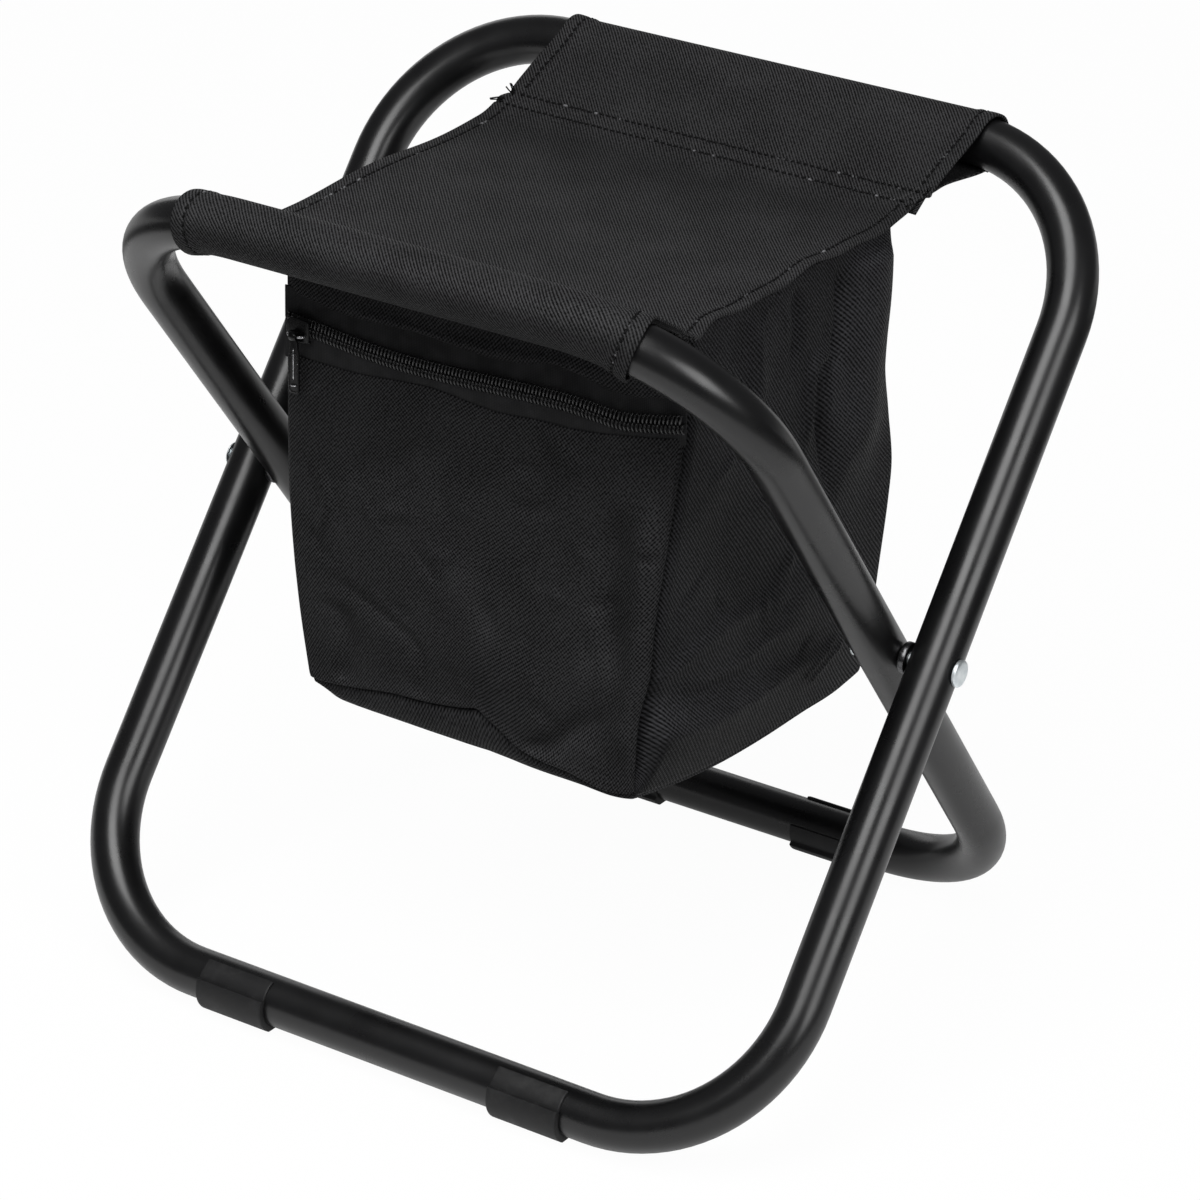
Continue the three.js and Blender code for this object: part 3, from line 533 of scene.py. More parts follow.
def turned(name, outline, side, finish, hoop=False):
    """An outline of (x, radius) turned about the pivot line, on the right (1) or left."""
    x, radius = np.array(outline).T
    spin = np.arange(40) * 2 * np.pi / 40
    round_y, round_z = np.cos(spin) * radius[:, None], np.sin(spin) * radius[:, None]
    rings = np.stack([np.broadcast_to(side * x[:, None], round_y.shape), round_y, PIVOT_Z + round_z], -1)
    return add_rings(name, rings, finish, sharp=40, hoop=hoop)


# Outlines as (x, radius). The left rivet's outer head is pressed flatter than the right one's
LEFT_HEAD_SHARE = 0.3
RIVET_HEAD = 166.8
RIVET = [(122.95, 1.2), (122.9, 2.4), (122.95, 3.6), (123.2, 4.4), (123.7, 4.75), (124.3, 4.7), (124.7, 4.3),
         (124.7, 3.2), (RIVET_HEAD, 3.2), (RIVET_HEAD, 4.95), (166.95, 5.2), (167.5, 5.25),
         (168.0, 5.2), (168.3, 4.95), (168.48, 4.4), (168.56, 3.0), (168.6, 1.2)]
SPACER = [(144.3, 3.4), (144.3, 5.7), (144.45, 6.05), (144.8, 6.25), (145.75, 6.25), (146.7, 6.25),
          (147.05, 6.05), (147.2, 5.7), (147.2, 3.4)]
for side, word in ((1, "right"), (-1, "left")):
    flat = [(min(x, RIVET_HEAD + LEFT_HEAD_SHARE * (x - RIVET_HEAD)), radius) for x, radius in RIVET]
    outline = RIVET if side > 0 else flat
    rivet = turned(f"rivet_{word}", outline, side, ZINC)
    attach(finish_piece(rivet, "zinc", f"pivot_rivet_{word}"), "outer_frame")
    puck = turned(f"leg_spacer_{word}", SPACER, side, DARK_STEEL, hoop=True)
    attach(finish_piece(puck, "dark_steel", f"pivot_spacer_{word}"), "outer_frame")


# Feet

def foot_outline(tilt, shrink, rise):
    """Points round a foot's section about the bar: a thin arm from its tip down to a
    ledge, the thicker cup round to the other ledge, the second arm, then the bore back
    from tip to tip. The clip is turned about the bar by the tilt in degrees, the outside
    is drawn in by shrink, and the flat sole is lifted by rise."""
    arm, cup = FOOT_ARM - shrink, FOOT_CUP - shrink
    angle = np.r_[43.5, 43.4, 42.4, np.linspace(36.0, 2.0, 8), -2.6, -3.3, -3.9, -5.2,
                  np.linspace(-9.0, -90.0, 17)]
    radius = np.r_[10.1, arm - 0.3, np.full(9, arm), arm, arm + 0.15, cup - 0.35, cup, np.full(17, cup)]
    angle = np.r_[angle, -180.0 - angle[-2::-1], np.linspace(-223.5, 43.5, 41)]
    radius = np.r_[radius, radius[-2::-1], np.full(41, FOOT_BORE)]
    turn = np.radians(angle - tilt)
    return np.stack([radius * np.cos(turn), np.maximum(radius * np.sin(turn), rise - FLOOR_BAR_Z)], 1)


def foot(name, x, y, tilt):
    """The foot's section carried along the bar, its edges softened at both ends."""
    inset = np.array([0.0, 0.15, 0.4, 0.8, 1.4, 2.2, 3.2, 4.5, 9.0, FOOT_LENGTH / 2])
    inset = np.r_[inset, FOOT_LENGTH - inset[-2::-1]]
    edge = np.minimum(inset, FOOT_LENGTH - inset)
    shrink = 0.4 * (1 - np.sqrt(1 - (1 - np.minimum(edge, 0.4) / 0.4) ** 2))
    rise = 1.9 * (1 - np.sqrt(1 - (1 - np.minimum(edge, 4.5) / 4.5) ** 2))
    rings = np.array([foot_outline(tilt, s, r) for s, r in zip(shrink, rise)])
    along = np.broadcast_to((x - FOOT_LENGTH / 2 + inset)[:, None, None], rings.shape[:2] + (1,))
    points = np.concatenate([along, rings], -1)
    return add_rings(name, points + [0.0, y, FLOOR_BAR_Z], FOOT_PLASTIC, sharp=38)


for row, y, offset, tilt, body in (("front", -BAR_SPREAD, 68.0, 29.0, "outer_frame"),
                                   ("rear", BAR_SPREAD, 48.5, -29.0, "inner_frame")):
    for word, side in (("left", -1), ("right", 1)):
        made = foot(f"clip_foot_{row}_{word}", side * offset, y, tilt)
        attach(finish_piece(made, "foot_plastic", f"foot_{row}_{word}"), body)


# Seat: one cloth slung over both top bars

def seat_half():
    """Half the seat's outer face from the middle of the tray to its hem: flat tray,
    fillet, slope that touches the sleeve circle, wrap round the bar, and the under
    layer back to the stitches below the slope. Returns y, z and a zone for each point:
    0 tray, 1 slope, 2 wrap, 3 under layer."""
    bar = np.array([BAR_SPREAD, SEAT_BAR_Z])
    rise = np.array([np.cos(SEAT_SLOPE), np.sin(SEAT_SLOPE)])
    out = np.array([-rise[1], rise[0]])
    touch = bar + SLEEVE_RADIUS * out
    knee = touch - rise * (touch[1] - SEAT_Z) / rise[1]
    reach = SEAT_FILLET * np.tan(SEAT_SLOPE / 2)
    turn = np.linspace(0.0, SEAT_SLOPE, 10)
    hollow = np.array([knee[0] - reach, SEAT_Z + SEAT_FILLET])
    fillet = hollow + SEAT_FILLET * np.stack([np.sin(turn), -np.cos(turn)], 1)
    pinch = touch - rise * (touch[0] - STITCH_Y) / rise[0] - out * 2.1
    to_bar = bar - pinch
    far = np.hypot(*to_bar)
    fall = np.arctan2(to_bar[1], to_bar[0]) - np.arcsin(SLEEVE_RADIUS / far)
    leave = fall - np.pi / 2
    wrap = np.linspace(np.pi / 2 + SEAT_SLOPE, leave, 34)
    circle = bar + SLEEVE_RADIUS * np.stack([np.cos(wrap), np.sin(wrap)], 1)
    tray = np.stack([np.linspace(0.0, fillet[0, 0], 36), np.full(36, SEAT_Z)], 1)
    slope = fillet[-1] + (touch - fillet[-1]) * np.linspace(0, 1, 24)[:, None]
    under = circle[-1] + (pinch - circle[-1]) * np.linspace(0, 1, 13)[:, None]
    hem = pinch - rise * np.linspace(0, 9.0, 5)[:, None]
    parts = [tray[:-1], fillet[:-1], slope[:-1], circle[:-1], under[:-1], hem]
    zones = np.repeat([0, 1, 1, 2, 3, 3], [len(p) for p in parts])
    return np.concatenate(parts), zones


SEAT_PROFILE, SEAT_ZONES = seat_half()
SEAT_RUN = np.r_[0.0, np.cumsum(np.linalg.norm(np.diff(SEAT_PROFILE, axis=0), axis=1))]
TOUCH_RUN = SEAT_RUN[np.argmax(SEAT_ZONES == 2)]
KNEE_RUN = SEAT_RUN[np.argmax(SEAT_ZONES == 1)]
LEAVE_RUN = SEAT_RUN[np.argmax(SEAT_ZONES == 3)]
STITCH_RUN = TOUCH_RUN - (SEAT_PROFILE[np.argmax(SEAT_ZONES == 2), 0] - STITCH_Y) / np.cos(SEAT_SLOPE)


def seat_section(run):
    """y and z of the seat's outer face at a signed run from the middle of the tray."""
    y = np.interp(np.abs(run), SEAT_RUN, SEAT_PROFILE[:, 0]) * np.sign(run)
    return np.stack([y, np.interp(np.abs(run), SEAT_RUN, SEAT_PROFILE[:, 1])], -1)


def sleeve_bend(share, run):
    """How far the sleeve's cloth moves where the bar under it starts to bend: its own
    bend round the wrap, fading out down the slope and along the under layer."""
    side = np.sign(run)
    start = np.where(side < 0, INNER_HALF, OUTER_HALF) - BEND_RADIUS
    along = share * SEAT_HALF + np.where(run > 0, REAR_SHIFT, FRONT_SHIFT)
    angle = np.maximum(np.abs(along) - start, 0.0) / BEND_RADIUS
    bar = np.stack([np.zeros_like(run), side * BAR_SPREAD, np.full_like(run, SEAT_BAR_Z)], -1)
    up = np.stack([np.zeros_like(run), side * np.sin(LEAN), np.full_like(run, np.cos(LEAN))], -1)
    hold = np.clip(np.abs(run), TOUCH_RUN, LEAVE_RUN)
    flat = np.concatenate([np.zeros(run.shape + (1,)), seat_section(hold * side)], -1) - bar
    height = (flat * up).sum(-1, keepdims=True)
    drop = BEND_RADIUS * (1 - np.cos(angle))[..., None]
    reach = (BEND_RADIUS * np.sin(angle) - np.maximum(np.abs(along) - start, 0.0))[..., None]
    turned_up = (np.cos(angle) - 1)[..., None] * up
    turned_out = (np.sin(angle) * np.sign(along))[..., None] * np.array([1.0, 0.0, 0.0])
    sideways = reach * np.sign(along)[..., None] * np.array([1.0, 0.0, 0.0])
    moved = height * (turned_up + turned_out) - drop * up + sideways
    far = np.abs(run)
    fade = np.where(far < TOUCH_RUN, ease((far - KNEE_RUN) / (TOUCH_RUN - KNEE_RUN)), 1.0)
    fade = np.where(far > LEAVE_RUN, 1.0 - 0.55 * (far - LEAVE_RUN) / (SEAT_RUN[-1] - LEAVE_RUN), fade)
    return moved * fade[..., None]


def seat_across(share, run):
    """Half the seat's width and the place across it, skewed to the right at the bars."""
    far = np.abs(run)
    ramp = np.where(run > 0, 4.0, 30.0)
    step = ease((far - (STITCH_RUN - ramp)) / (ramp + np.where(run > 0, 0.0, 12.0)))
    half = SEAT_HALF - 1.0 * ease(1 - far / 70.0) - 6.0 * ease((far - LEAVE_RUN) / 25.0)
    to_bar = ease((far - STITCH_RUN) / (TOUCH_RUN - STITCH_RUN))
    shift = np.where(run > 0, 3.4 * step + 4.4 * to_bar, (FRONT_SHIFT - TRAY_SHIFT) * step) + TRAY_SHIFT
    return half, share * half + shift


def seat_face(share, run):
    """Point on the seat's outer face: share -1 to 1 across it, run along it. The cloth
    is skewed over the bars, its sides are hemmed, the hems wave, the stitch lines are
    drawn in as narrow bells, and the sleeves' ends stand open."""
    far = np.abs(run)
    half, x = seat_across(share, run)
    point = np.concatenate([x[..., None], seat_section(run)], -1)
    edge = half * (1 - np.abs(share))
    tray = ease((STITCH_RUN - far) / 25.0)
    hem = 0.5 * ease((9.0 - edge) / 1.4)
    wave = np.where(share > 0, np.sin(run / 11.0 + 0.6) + 0.6 * np.sin(run / 5.3), np.sin(run / 15.0 + 2.0))
    lip = 1.0 * wave * np.exp(-(edge / 9.0) ** 2)
    quilt = 0.35 * np.sin(run / 21.0 + share * 2.0) * np.cos(share * 4.0 + 0.5) - 0.9 * (1 - share**2)
    lines = np.exp(-((far - STITCH_RUN) / 0.7) ** 2) + np.exp(-((far - STITCH_RUN + STITCH_GAP) / 0.7) ** 2)
    ripple = 0.2 * np.sin(share * half * 0.4 + 3.0 * np.sin(share * 9.0))
    pucker = ripple * np.exp(-((far - STITCH_RUN + 3.0) / 5.0) ** 2)
    sewn = np.where(far < TOUCH_RUN, pucker - 0.75 * lines, 0.0)
    hem_seam = -0.5 * np.exp(-((edge - HEM_STITCH) / 0.9) ** 2)
    flare = np.where((run < 0) & (share > 0), 1.1, 0.5) * np.exp(-(edge / 5.0) ** 2)
    open_end = flare * ease((far - STITCH_RUN - 8.0) / 12.0) * (far < LEAVE_RUN)
    lift = tray * (lip + quilt) + np.where(far < LEAVE_RUN, hem + hem_seam, 0.0) + sewn + open_end
    slope = seat_section(run + 0.2) - seat_section(run - 0.2)
    normal = unit(np.stack([np.zeros(run.shape), -slope[..., 1], slope[..., 0]], -1))
    return point + sleeve_bend(share, run) + lift[..., None] * normal


# Fine steps across a stitch line
SEAM_STEPS = np.array([-1.8, -1.2, -0.8, -0.4, 0.0, 0.4, 0.8, 1.2, 1.8])


def seat_stations(step):
    """Runs along the seat from the front hem to the back hem, about a step apart, and
    closer beside the stitches."""
    half = np.linspace(0.0, SEAT_RUN[-1], int(SEAT_RUN[-1] / step) + 1)
    close = np.r_[STITCH_RUN + SEAM_STEPS, STITCH_RUN - STITCH_GAP + SEAM_STEPS]
    half = np.sort(np.r_[half[np.abs(half[:, None] - close).min(1) > 0.3], close])
    return np.r_[-half[:0:-1], half]


def seat_painted_shade(points):
    """Painted shade of the seat, below 0 where the cloth is painted darker: on the front sleeve from just
    above the bar's middle down, and from the tray towards the back bar."""
    y, z = points[..., 1], points[..., 2]
    sleeve = ease((SEAT_BAR_Z + 7.0 - z) / 8.0) * ease((-100.0 - y) / 10.0)
    back = ease((y - 25.0) / 50.0) * (1 - 0.6 * ease((y - 105.0) / 10.0))
    return -0.4 * sleeve - 0.18 * back


runs = seat_stations(1.7)
across = -1 + graded(SEAT_HALF * 2, 2.0) * 2
hem_columns = 1 - (HEM_STITCH + SEAM_STEPS) / SEAT_HALF
hem_columns = np.r_[-hem_columns, hem_columns]
across = np.sort(np.r_[across[np.abs(across[:, None] - hem_columns).min(1) > 0.003], hem_columns])
run_grid, share_grid = np.meshgrid(runs, across, indexing="ij")
seat_points = seat_face(share_grid, run_grid)
seat = add_piece("seat_sling", seat_points, [quads(*run_grid.shape)], SEAT_CLOTH,
                 uv=grid_uv(seat_across(share_grid, run_grid)[1], run_grid), closed=False)
# Painted shade on the lower front sleeve and towards the back bar
add_painted_light(seat, seat_painted_shade(seat_points))
thicken(seat, CLOTH)
finish_piece(seat, "cloth", "seat_panel", "seat_front_sleeve", "seat_rear_sleeve")
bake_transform(seat)


def surface_frame(share, run):
    """Points on the seat, and its outward directions from small steps along it."""
    along = seat_face(share, run + 0.3) - seat_face(share, run - 0.3)
    across = seat_face(share + 0.004, run) - seat_face(share - 0.004, run)
    return seat_face(share, run), unit(np.cross(across, along))


def stitch_points(start, end, normal, radius=0.53):
    """Sewing stitches: each a short thread arched over the cloth, thin where it dives.
    Five rings of six points from start to end, lifted along the normal."""
    t = np.array([0.0, 0.14, 0.5, 0.86, 1.0])
    lift = np.array([-0.35, 0.08, 0.22, 0.08, -0.35])
    width = radius * np.array([0.5, 0.95, 1.0, 0.95, 0.5])
    line = start[:, None] + (end - start)[:, None] * t[:, None] + normal[:, None] * lift[:, None]
    beside = unit(np.cross(end - start, normal))
    spin = np.arange(6) * np.pi / 3
    ring = np.cos(spin)[:, None] * normal[:, None] + np.sin(spin)[:, None] * beside[:, None]
    points = line[:, :, None] + width[None, :, None, None] * ring[:, None]
    count = len(start)
    offset = np.arange(count)[:, None, None] * 30
    walls = (quads(5, 6, True)[None] + offset).reshape(-1, 4)
    ends = np.concatenate([(np.arange(6)[None, None, ::-1] + offset), np.arange(6)[None, None] + 24 + offset])
    return points.reshape(-1, 3), [walls, ends.reshape(-1, 6)]


def seat_seam(share, run):
    """A row of stitches along a line on the seat, given as matching arrays."""
    point, normal = surface_frame(share, run)
    start, end = point[:-1], point[1:]
    gap = 0.14 * (end - start)
    return start + gap, end - gap, normal[:-1]


def join_rows(rows):
    """Rows of stitches one after the other: starts, ends and normals."""
    return [np.concatenate(part) for part in zip(*rows)]


seat_rows = []
hem_line = 1 - HEM_STITCH / SEAT_HALF
for line_run in (STITCH_RUN, STITCH_RUN - STITCH_GAP):
    for side in (1, -1):
        line = np.linspace(-0.955, 0.955, 64)
        seat_rows.append(seat_seam(line, np.full_like(line, side * line_run)))
for side in (1, -1):
    hem_run = np.linspace(-STITCH_RUN + 8.0, STITCH_RUN - 8.0, 55)
    seat_rows.append(seat_seam(np.full_like(hem_run, side * hem_line), hem_run))
    for end in (1, -1):
        wrap_run = end * np.linspace(STITCH_RUN + 3.0, LEAVE_RUN - 2.0, 24)
        seat_rows.append(seat_seam(np.full_like(wrap_run, side * hem_line), wrap_run))
points, faces = stitch_points(*join_rows(seat_rows))
seat_stitches = add_piece("seat_stitches", points, faces, THREAD)
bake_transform(finish_piece(seat_stitches, "cloth"))


def loose_threads(seed, count, share, run):
    """Frayed ends at a corner of the seat: thin threads that leave the hem outwards and
    curl, each a cubic curve from the hem, set by seeded numbers."""
    dice = np.random.default_rng(seed)
    root, normal = surface_frame(share + np.sign(share) * dice.uniform(-0.02, 0.0, count),
                                 run + dice.uniform(-5.0, 5.0, count))
    out = np.sign(share) * np.array([1.0, 0.0, 0.0])
    lean = unit(out + dice.normal(0.0, 0.55, (count, 3)) + 0.5 * normal)
    curl = dice.normal(0.0, 1.0, (count, 3))
    t = np.linspace(0.0, 1.0, 7)[None, :, None]
    length = dice.uniform(2.0, 4.6, count)[:, None, None]
    root = root - out * 1.2
    return root[:, None] + length * (t * lean[:, None] + 0.35 * t**2 * curl[:, None])


frays = [loose_threads(seed, 8, share, STITCH_RUN - 4.0)
         for seed, share in ((4, -0.995), (9, 0.995))]
points, faces = sweep(np.concatenate(frays), 0.3, 5, (0.0, 0.1, 1.0))
seat_frays = add_piece("seat_thread_ends", points, faces, THREAD)
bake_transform(finish_piece(seat_frays, "cloth"))


# Bag: six sewn panels in one sagging shell

def smooth_seam(knots, heights):
    """A corner seam as a smooth curve through (z, x, y) knots, read at given heights."""
    knots = np.array(knots, float)
    fine = through(knots[:, [1, 2, 0]], np.linspace(0, 1, 400))
    return np.stack([np.interp(heights, fine[::-1, 2], fine[::-1, 0]),
                     np.interp(heights, fine[::-1, 2], fine[::-1, 1]), heights], -1)


# Corner seams from top to foot, as (z, x, y)
SEAM_KNOTS = {
    "front_left": [(BAG_TOP, -88.9, -69.5), (281, -88.2, -70.0), (237, -87.2, -71.2), (204, -86.3, -72.0),
                   (155, -80.3, -74.0), (123, -75.1, -74.0)],
    "front_right": [(BAG_TOP, 88.6, -67.6), (269, 89.0, -68.4), (230, 85.5, -70.4), (185, 80.8, -72.2),
                    (170, 80.4, -73.0), (152, 76.9, -74.0), (132, 76.3, -75.0), (118.7, 75.8, -75.0)],
    "back_right": [(BAG_TOP, 88.6, 73.0), (288, 88.6, 74.2), (276, 88.4, 74.6), (260, 88.0, 74.4),
                   (246, 88.2, 74.8), (228, 89.5, 77.0), (204, 90.4, 80.6), (190, 90.0, 80.2),
                   (166, 88.9, 78.4), (140, 87.0, 77.4), (113, 83.0, 77.0)],
    "back_left": [(BAG_TOP, -88.4, 73.0), (263, -88.0, 74.2), (200, -87.6, 78.0), (166, -85.4, 77.6),
                  (140, -83.0, 77.0), (117, -80.0, 76.0)],
}
# Shares of the rows down the strip, the zip's gap and the panel below it
STRIP_SHARE = graded(30.0, 2.2, start=False)
GAP_SHARE = np.linspace(0, 1, 9)[1:-1]
LOW_SHARE = graded(BAG_WALL, 1.9)
STRIP_ROWS = len(STRIP_SHARE)
PANEL_ROW = STRIP_ROWS + len(GAP_SHARE)


def seam_heights(x, foot_z):
    """Heights of the rows down a seam: to the cloth's edge above the zip, past the zip's
    gap, and from the edge below it to the seam's own foot."""
    strip, panel = height_along(STRIP_EDGE, x), height_along(PANEL_EDGE, x)
    return np.r_[BAG_TOP + (strip - BAG_TOP) * STRIP_SHARE, strip + (panel - strip) * GAP_SHARE,
                 panel + (foot_z - panel) * LOW_SHARE]


SEAMS = {name: smooth_seam(knots, seam_heights(knots[0][1], knots[-1][0]))
         for name, knots in SEAM_KNOTS.items()}
ACROSS = graded(BAG_WIDTH, 2.1)
DEEP = graded(BAG_DEPTH, 1.9)
FOOT_KNOTS = {
    "front": [(-75.1, -74.0, 123.0), (-56.8, -75.0, 125.4), (-32.8, -75.0, 129.2), (-16.6, -75.0, 130.3),
              (1.5, -74.8, 133.2), (5.4, -74.6, 134.1), (9.0, -74.8, 132.2), (16.5, -75.0, 128.0),
              (26.6, -75.6, 122.9), (47.7, -75.8, 120.6), (64.8, -75.6, 117.6), (75.8, -75.0, 118.7)],
    "right": [(75.8, -75.0, 118.7), (78.2, -42.0, 114.6), (79.2, -19.0, 112.4), (80.2, 10.0, 111.2),
              (81.0, 39.0, 111.0), (82.0, 65.0, 110.8), (83.0, 77.0, 113.0)],
    "back": [(-80.0, 76.0, 117.0), (-40.0, 79.0, 115.6), (0.0, 80.0, 115.0), (40.0, 79.5, 114.6),
             (83.0, 77.0, 113.0)],
    "left": [(-75.1, -74.0, 123.0), (-76.5, -40.0, 119.0), (-78.0, 0.0, 117.0), (-79.0, 40.0, 116.4),
             (-80.0, 76.0, 117.0)],
}
FEET = {name: through(knots, ACROSS if name in ("front", "back") else DEEP)
        for name, knots in FOOT_KNOTS.items()}


def zip_face(x):
    """How far forward the zip's tape lies at x: flat, drawn back into the seams."""
    return ZIP_Y + 0.9 * ease((-74.0 - x) / 14.0) + 3.6 * ease((x - 58.0) / 34.0)


def sewn_patch(top, foot_edge, left, right, u, v):
    """Surface between four sewn edges: the sum of the two ruled surfaces between facing
    edges, less the bilinear one through the corners."""
    u, v = u[None, :, None], v[:, None, None]
    ruled = (1 - v) * top[None] + v * foot_edge[None] + (1 - u) * left[:, None] + u * right[:, None]
    corners = ((1 - u) * (1 - v) * top[0] + u * (1 - v) * top[-1]
               + (1 - u) * v * foot_edge[0] + u * v * foot_edge[-1])
    return ruled - corners


def pillow(u, v, power=0.55):
    """Bulge that is 1 in the middle and falls steeply to 0 at the four edges."""
    return (np.clip(4 * u * (1 - u), 0, 1)[None, :] * np.clip(4 * v * (1 - v), 0, 1)[:, None]) ** power


def folds(where, lines):
    """Sum of folds on a flat drawing of a panel: each a height that falls off as a bell
    on both sides of a broken line, with its own width on each side, and eases out at
    the line's ends."""
    total = np.zeros(len(where))
    for height, width_left, width_right, fade, path in lines:
        path = through(np.array(path, float), np.linspace(0, 1, 24))
        far, side, share = path_distance(where, path)
        width = np.where(side > 0, width_left, width_right)
        total += height * np.exp(-(far / width) ** 2) * ease(share / fade[0]) * ease((1 - share) / fade[1])
    return total


# Folds of each panel: height, width on its left, width on its right, end fades, line
RIGHT_FOLDS = [
    (-5.5, 5.0, 3.0, (0.15, 0.3), [(33, 302), (35, 283), (32, 266), (25.5, 258), (24, 249), (26, 235),
                                   (30.5, 217), (36, 200)]),
    (5.5, 15.0, 15.0, (0.1, 0.35), [(58, 304), (58, 280), (56, 258), (53, 236), (47, 216), (40, 198)]),
    (2.8, 2.4, 2.6, (0.2, 0.4), [(32, 264), (22, 267), (16.2, 266), (15, 257), (15, 244), (14, 225)]),
    (-2.2, 4.0, 4.0, (0.2, 0.4), [(2, 302), (4, 284), (1, 262)]),
    (1.8, 5.0, 5.0, (0.3, 0.3), [(-30, 302), (-22, 276), (-26, 250)]),
    (-3.8, 15.0, 15.0, (0.3, 0.3), [(-52, 236), (-25, 206), (0, 180), (26, 164)]),
    (1.8, 3.6, 4.2, (0.15, 0.4), [(-72, 165), (-50, 172), (-23, 175.5), (2, 173), (24, 168)]),
    (1.5, 3.0, 3.6, (0.2, 0.4), [(-62, 160), (-26, 155.5), (2, 158), (32, 155)]),
    (-5.5, 4.0, 4.5, (0.3, 0.3), [(-74, 166), (-72.5, 150), (-74, 132)]),
    (0.8, 1.0, 1.0, (0.15, 0.15), [(57, 138), (45, 131.5), (33, 126)]),
    (0.8, 1.0, 1.0, (0.15, 0.15), [(51, 141.5), (39, 135), (27, 130)]),
]
# The flap at the right panel's foot, from front to back: y, the heights of its crease and
# its crest, and how far out it stands
RIGHT_FLAP = np.array([(-76, 162.0, 147.0, 4.0), (-67, 159.0, 143.5, 7.0), (-58, 156.5, 142.0, 7.5),
                       (-38.5, 151.5, 139.5, 7.0), (-21, 148.0, 138.4, 6.0), (-1.7, 144.5, 137.8, 4.4),
                       (19.5, 142.5, 138.0, 2.6), (43.3, 140.5, 137.0, 1.2), (80, 134.0, 130.0, 0.0)])
FRONT_FOLDS = [
    (3.4, 5.0, 7.0, (0.2, 0.15), [(76, 244), (76.5, 223), (77, 191), (75.5, 158), (72, 128)]),
    (-2.7, 6.0, 6.0, (0.25, 0.3), [(67, 236), (62, 217), (60, 200), (64, 178), (68, 158)]),
    (-2.6, 5.5, 4.5, (0.05, 0.35), [(27, 121), (33, 126), (44, 135), (54, 144), (65, 152)]),
    (-1.0, 1.6, 2.0, (0.2, 0.15), [(-66, 173), (-38, 163.5), (-21, 154), (-17.5, 132)]),
    (0.5, 5.0, 5.5, (0.3, 0.2), [(-68, 164), (-42, 155), (-28, 146), (-25, 130)]),
    (-1.9, 4.2, 4.2, (0.3, 0.1), [(-58, 164), (-54, 146), (-57, 127)]),
    (1.7, 1.9, 1.9, (0.3, 0.3), [(-70.5, 216), (-65, 204), (-69, 186)]),
    (-2.0, 1.2, 1.2, (0.4, 0.1), [(72, 217), (79, 216), (88, 215.5)]),
    (-1.6, 9.0, 9.0, (0.3, 0.3), [(-62, 213), (-20, 232), (-4, 244)]),
    (1.5, 5.0, 5.0, (0.3, 0.3), [(31, 256), (41, 248), (48, 240)]),
    (1.8, 11.0, 11.0, (0.3, 0.3), [(-6, 140), (2, 165), (-10, 195)]),
    (-1.0, 2.0, 2.0, (0.3, 0.3), [(-74, 190), (-66, 181), (-58, 178)]),
]
STRIP_FOLDS = [(-1.4, 2.5, 3.0, (0.2, 0.3), [(-80, 287), (-30, 284), (40, 287), (84, 292)]),
               (1.0, 4.0, 4.0, (0.2, 0.2), [(-78, 280), (0, 279), (80, 281)])]
BACK_FOLDS = [(-2.0, 8.0, 8.0, (0.3, 0.3), [(-60, 290), (-30, 250), (-34, 205)]),
              (2.0, 9.0, 9.0, (0.3, 0.3), [(50, 280), (36, 235), (46, 190)]),
              (-1.8, 6.0, 8.0, (0.3, 0.3), [(-70, 135), (-20, 142), (40, 136)])]
LEFT_FOLDS = [(-2.4, 5.0, 4.0, (0.3, 0.4), [(30, 288), (20, 256), (22, 215)]),
              (3.0, 18.0, 16.0, (0.3, 0.3), [(-20, 280), (-12, 225), (-18, 170)]),
              (3.2, 8.0, 8.0, (0.1, 0.5), [(-66, 143), (-30, 139), (20, 135)])]


def small_creases(seed, count, low, high, reach):
    """Short shallow creases strewn over a panel by seeded numbers: each a bent line."""
    dice = np.random.default_rng(seed)
    middle = dice.uniform(low, high, (count, 2))
    turn = dice.uniform(0, np.pi, count)
    along = np.stack([np.cos(turn), np.sin(turn)], 1) * dice.uniform(0.4, 1.0, count)[:, None] * reach
    bend = np.stack([-np.sin(turn), np.cos(turn)], 1) * dice.normal(0, 0.25, count)[:, None] * reach
    height = dice.choice([-1.0, 1.0], count) * dice.uniform(0.35, 0.95, count)
    width = dice.uniform(1.4, 3.6, (count, 2))
    return [(h, a, b, (0.45, 0.45), [m - s, m + c, m + s])
            for h, (a, b), m, s, c in zip(height, width, middle, along, bend)]


FRONT_FOLDS += small_creases(3, 34, (-74, 128), (74, 246), 16.0)
RIGHT_FOLDS += small_creases(5, 30, (-62, 135), (70, 295), 20.0)
LEFT_FOLDS += small_creases(7, 20, (-62, 135), (70, 295), 20.0)
BACK_FOLDS += small_creases(8, 24, (-74, 130), (74, 290), 18.0)


def right_flap(where):
    """Fold at the foot of the right panel: straight out from its crease down to its crest
    and straight back to the bottom seam, both edges softened over two millimetres."""
    y, z = where.T
    crease, crest, out = [np.interp(y, RIGHT_FLAP[:, 0], RIGHT_FLAP[:, k]) for k in (1, 2, 3)]
    foot_z = np.interp(y, FEET["right"][:, 1], FEET["right"][:, 2])
    total = np.zeros(len(where))
    for step in np.linspace(-1.2, 1.2, 7):
        above = np.clip((crease - z - step) / (crease - crest), 0.0, 1.0)
        below = np.clip((z + step - foot_z) / (crest - foot_z), 0.0, 1.0)
        total += out * np.minimum(above, below) / 7
    return total


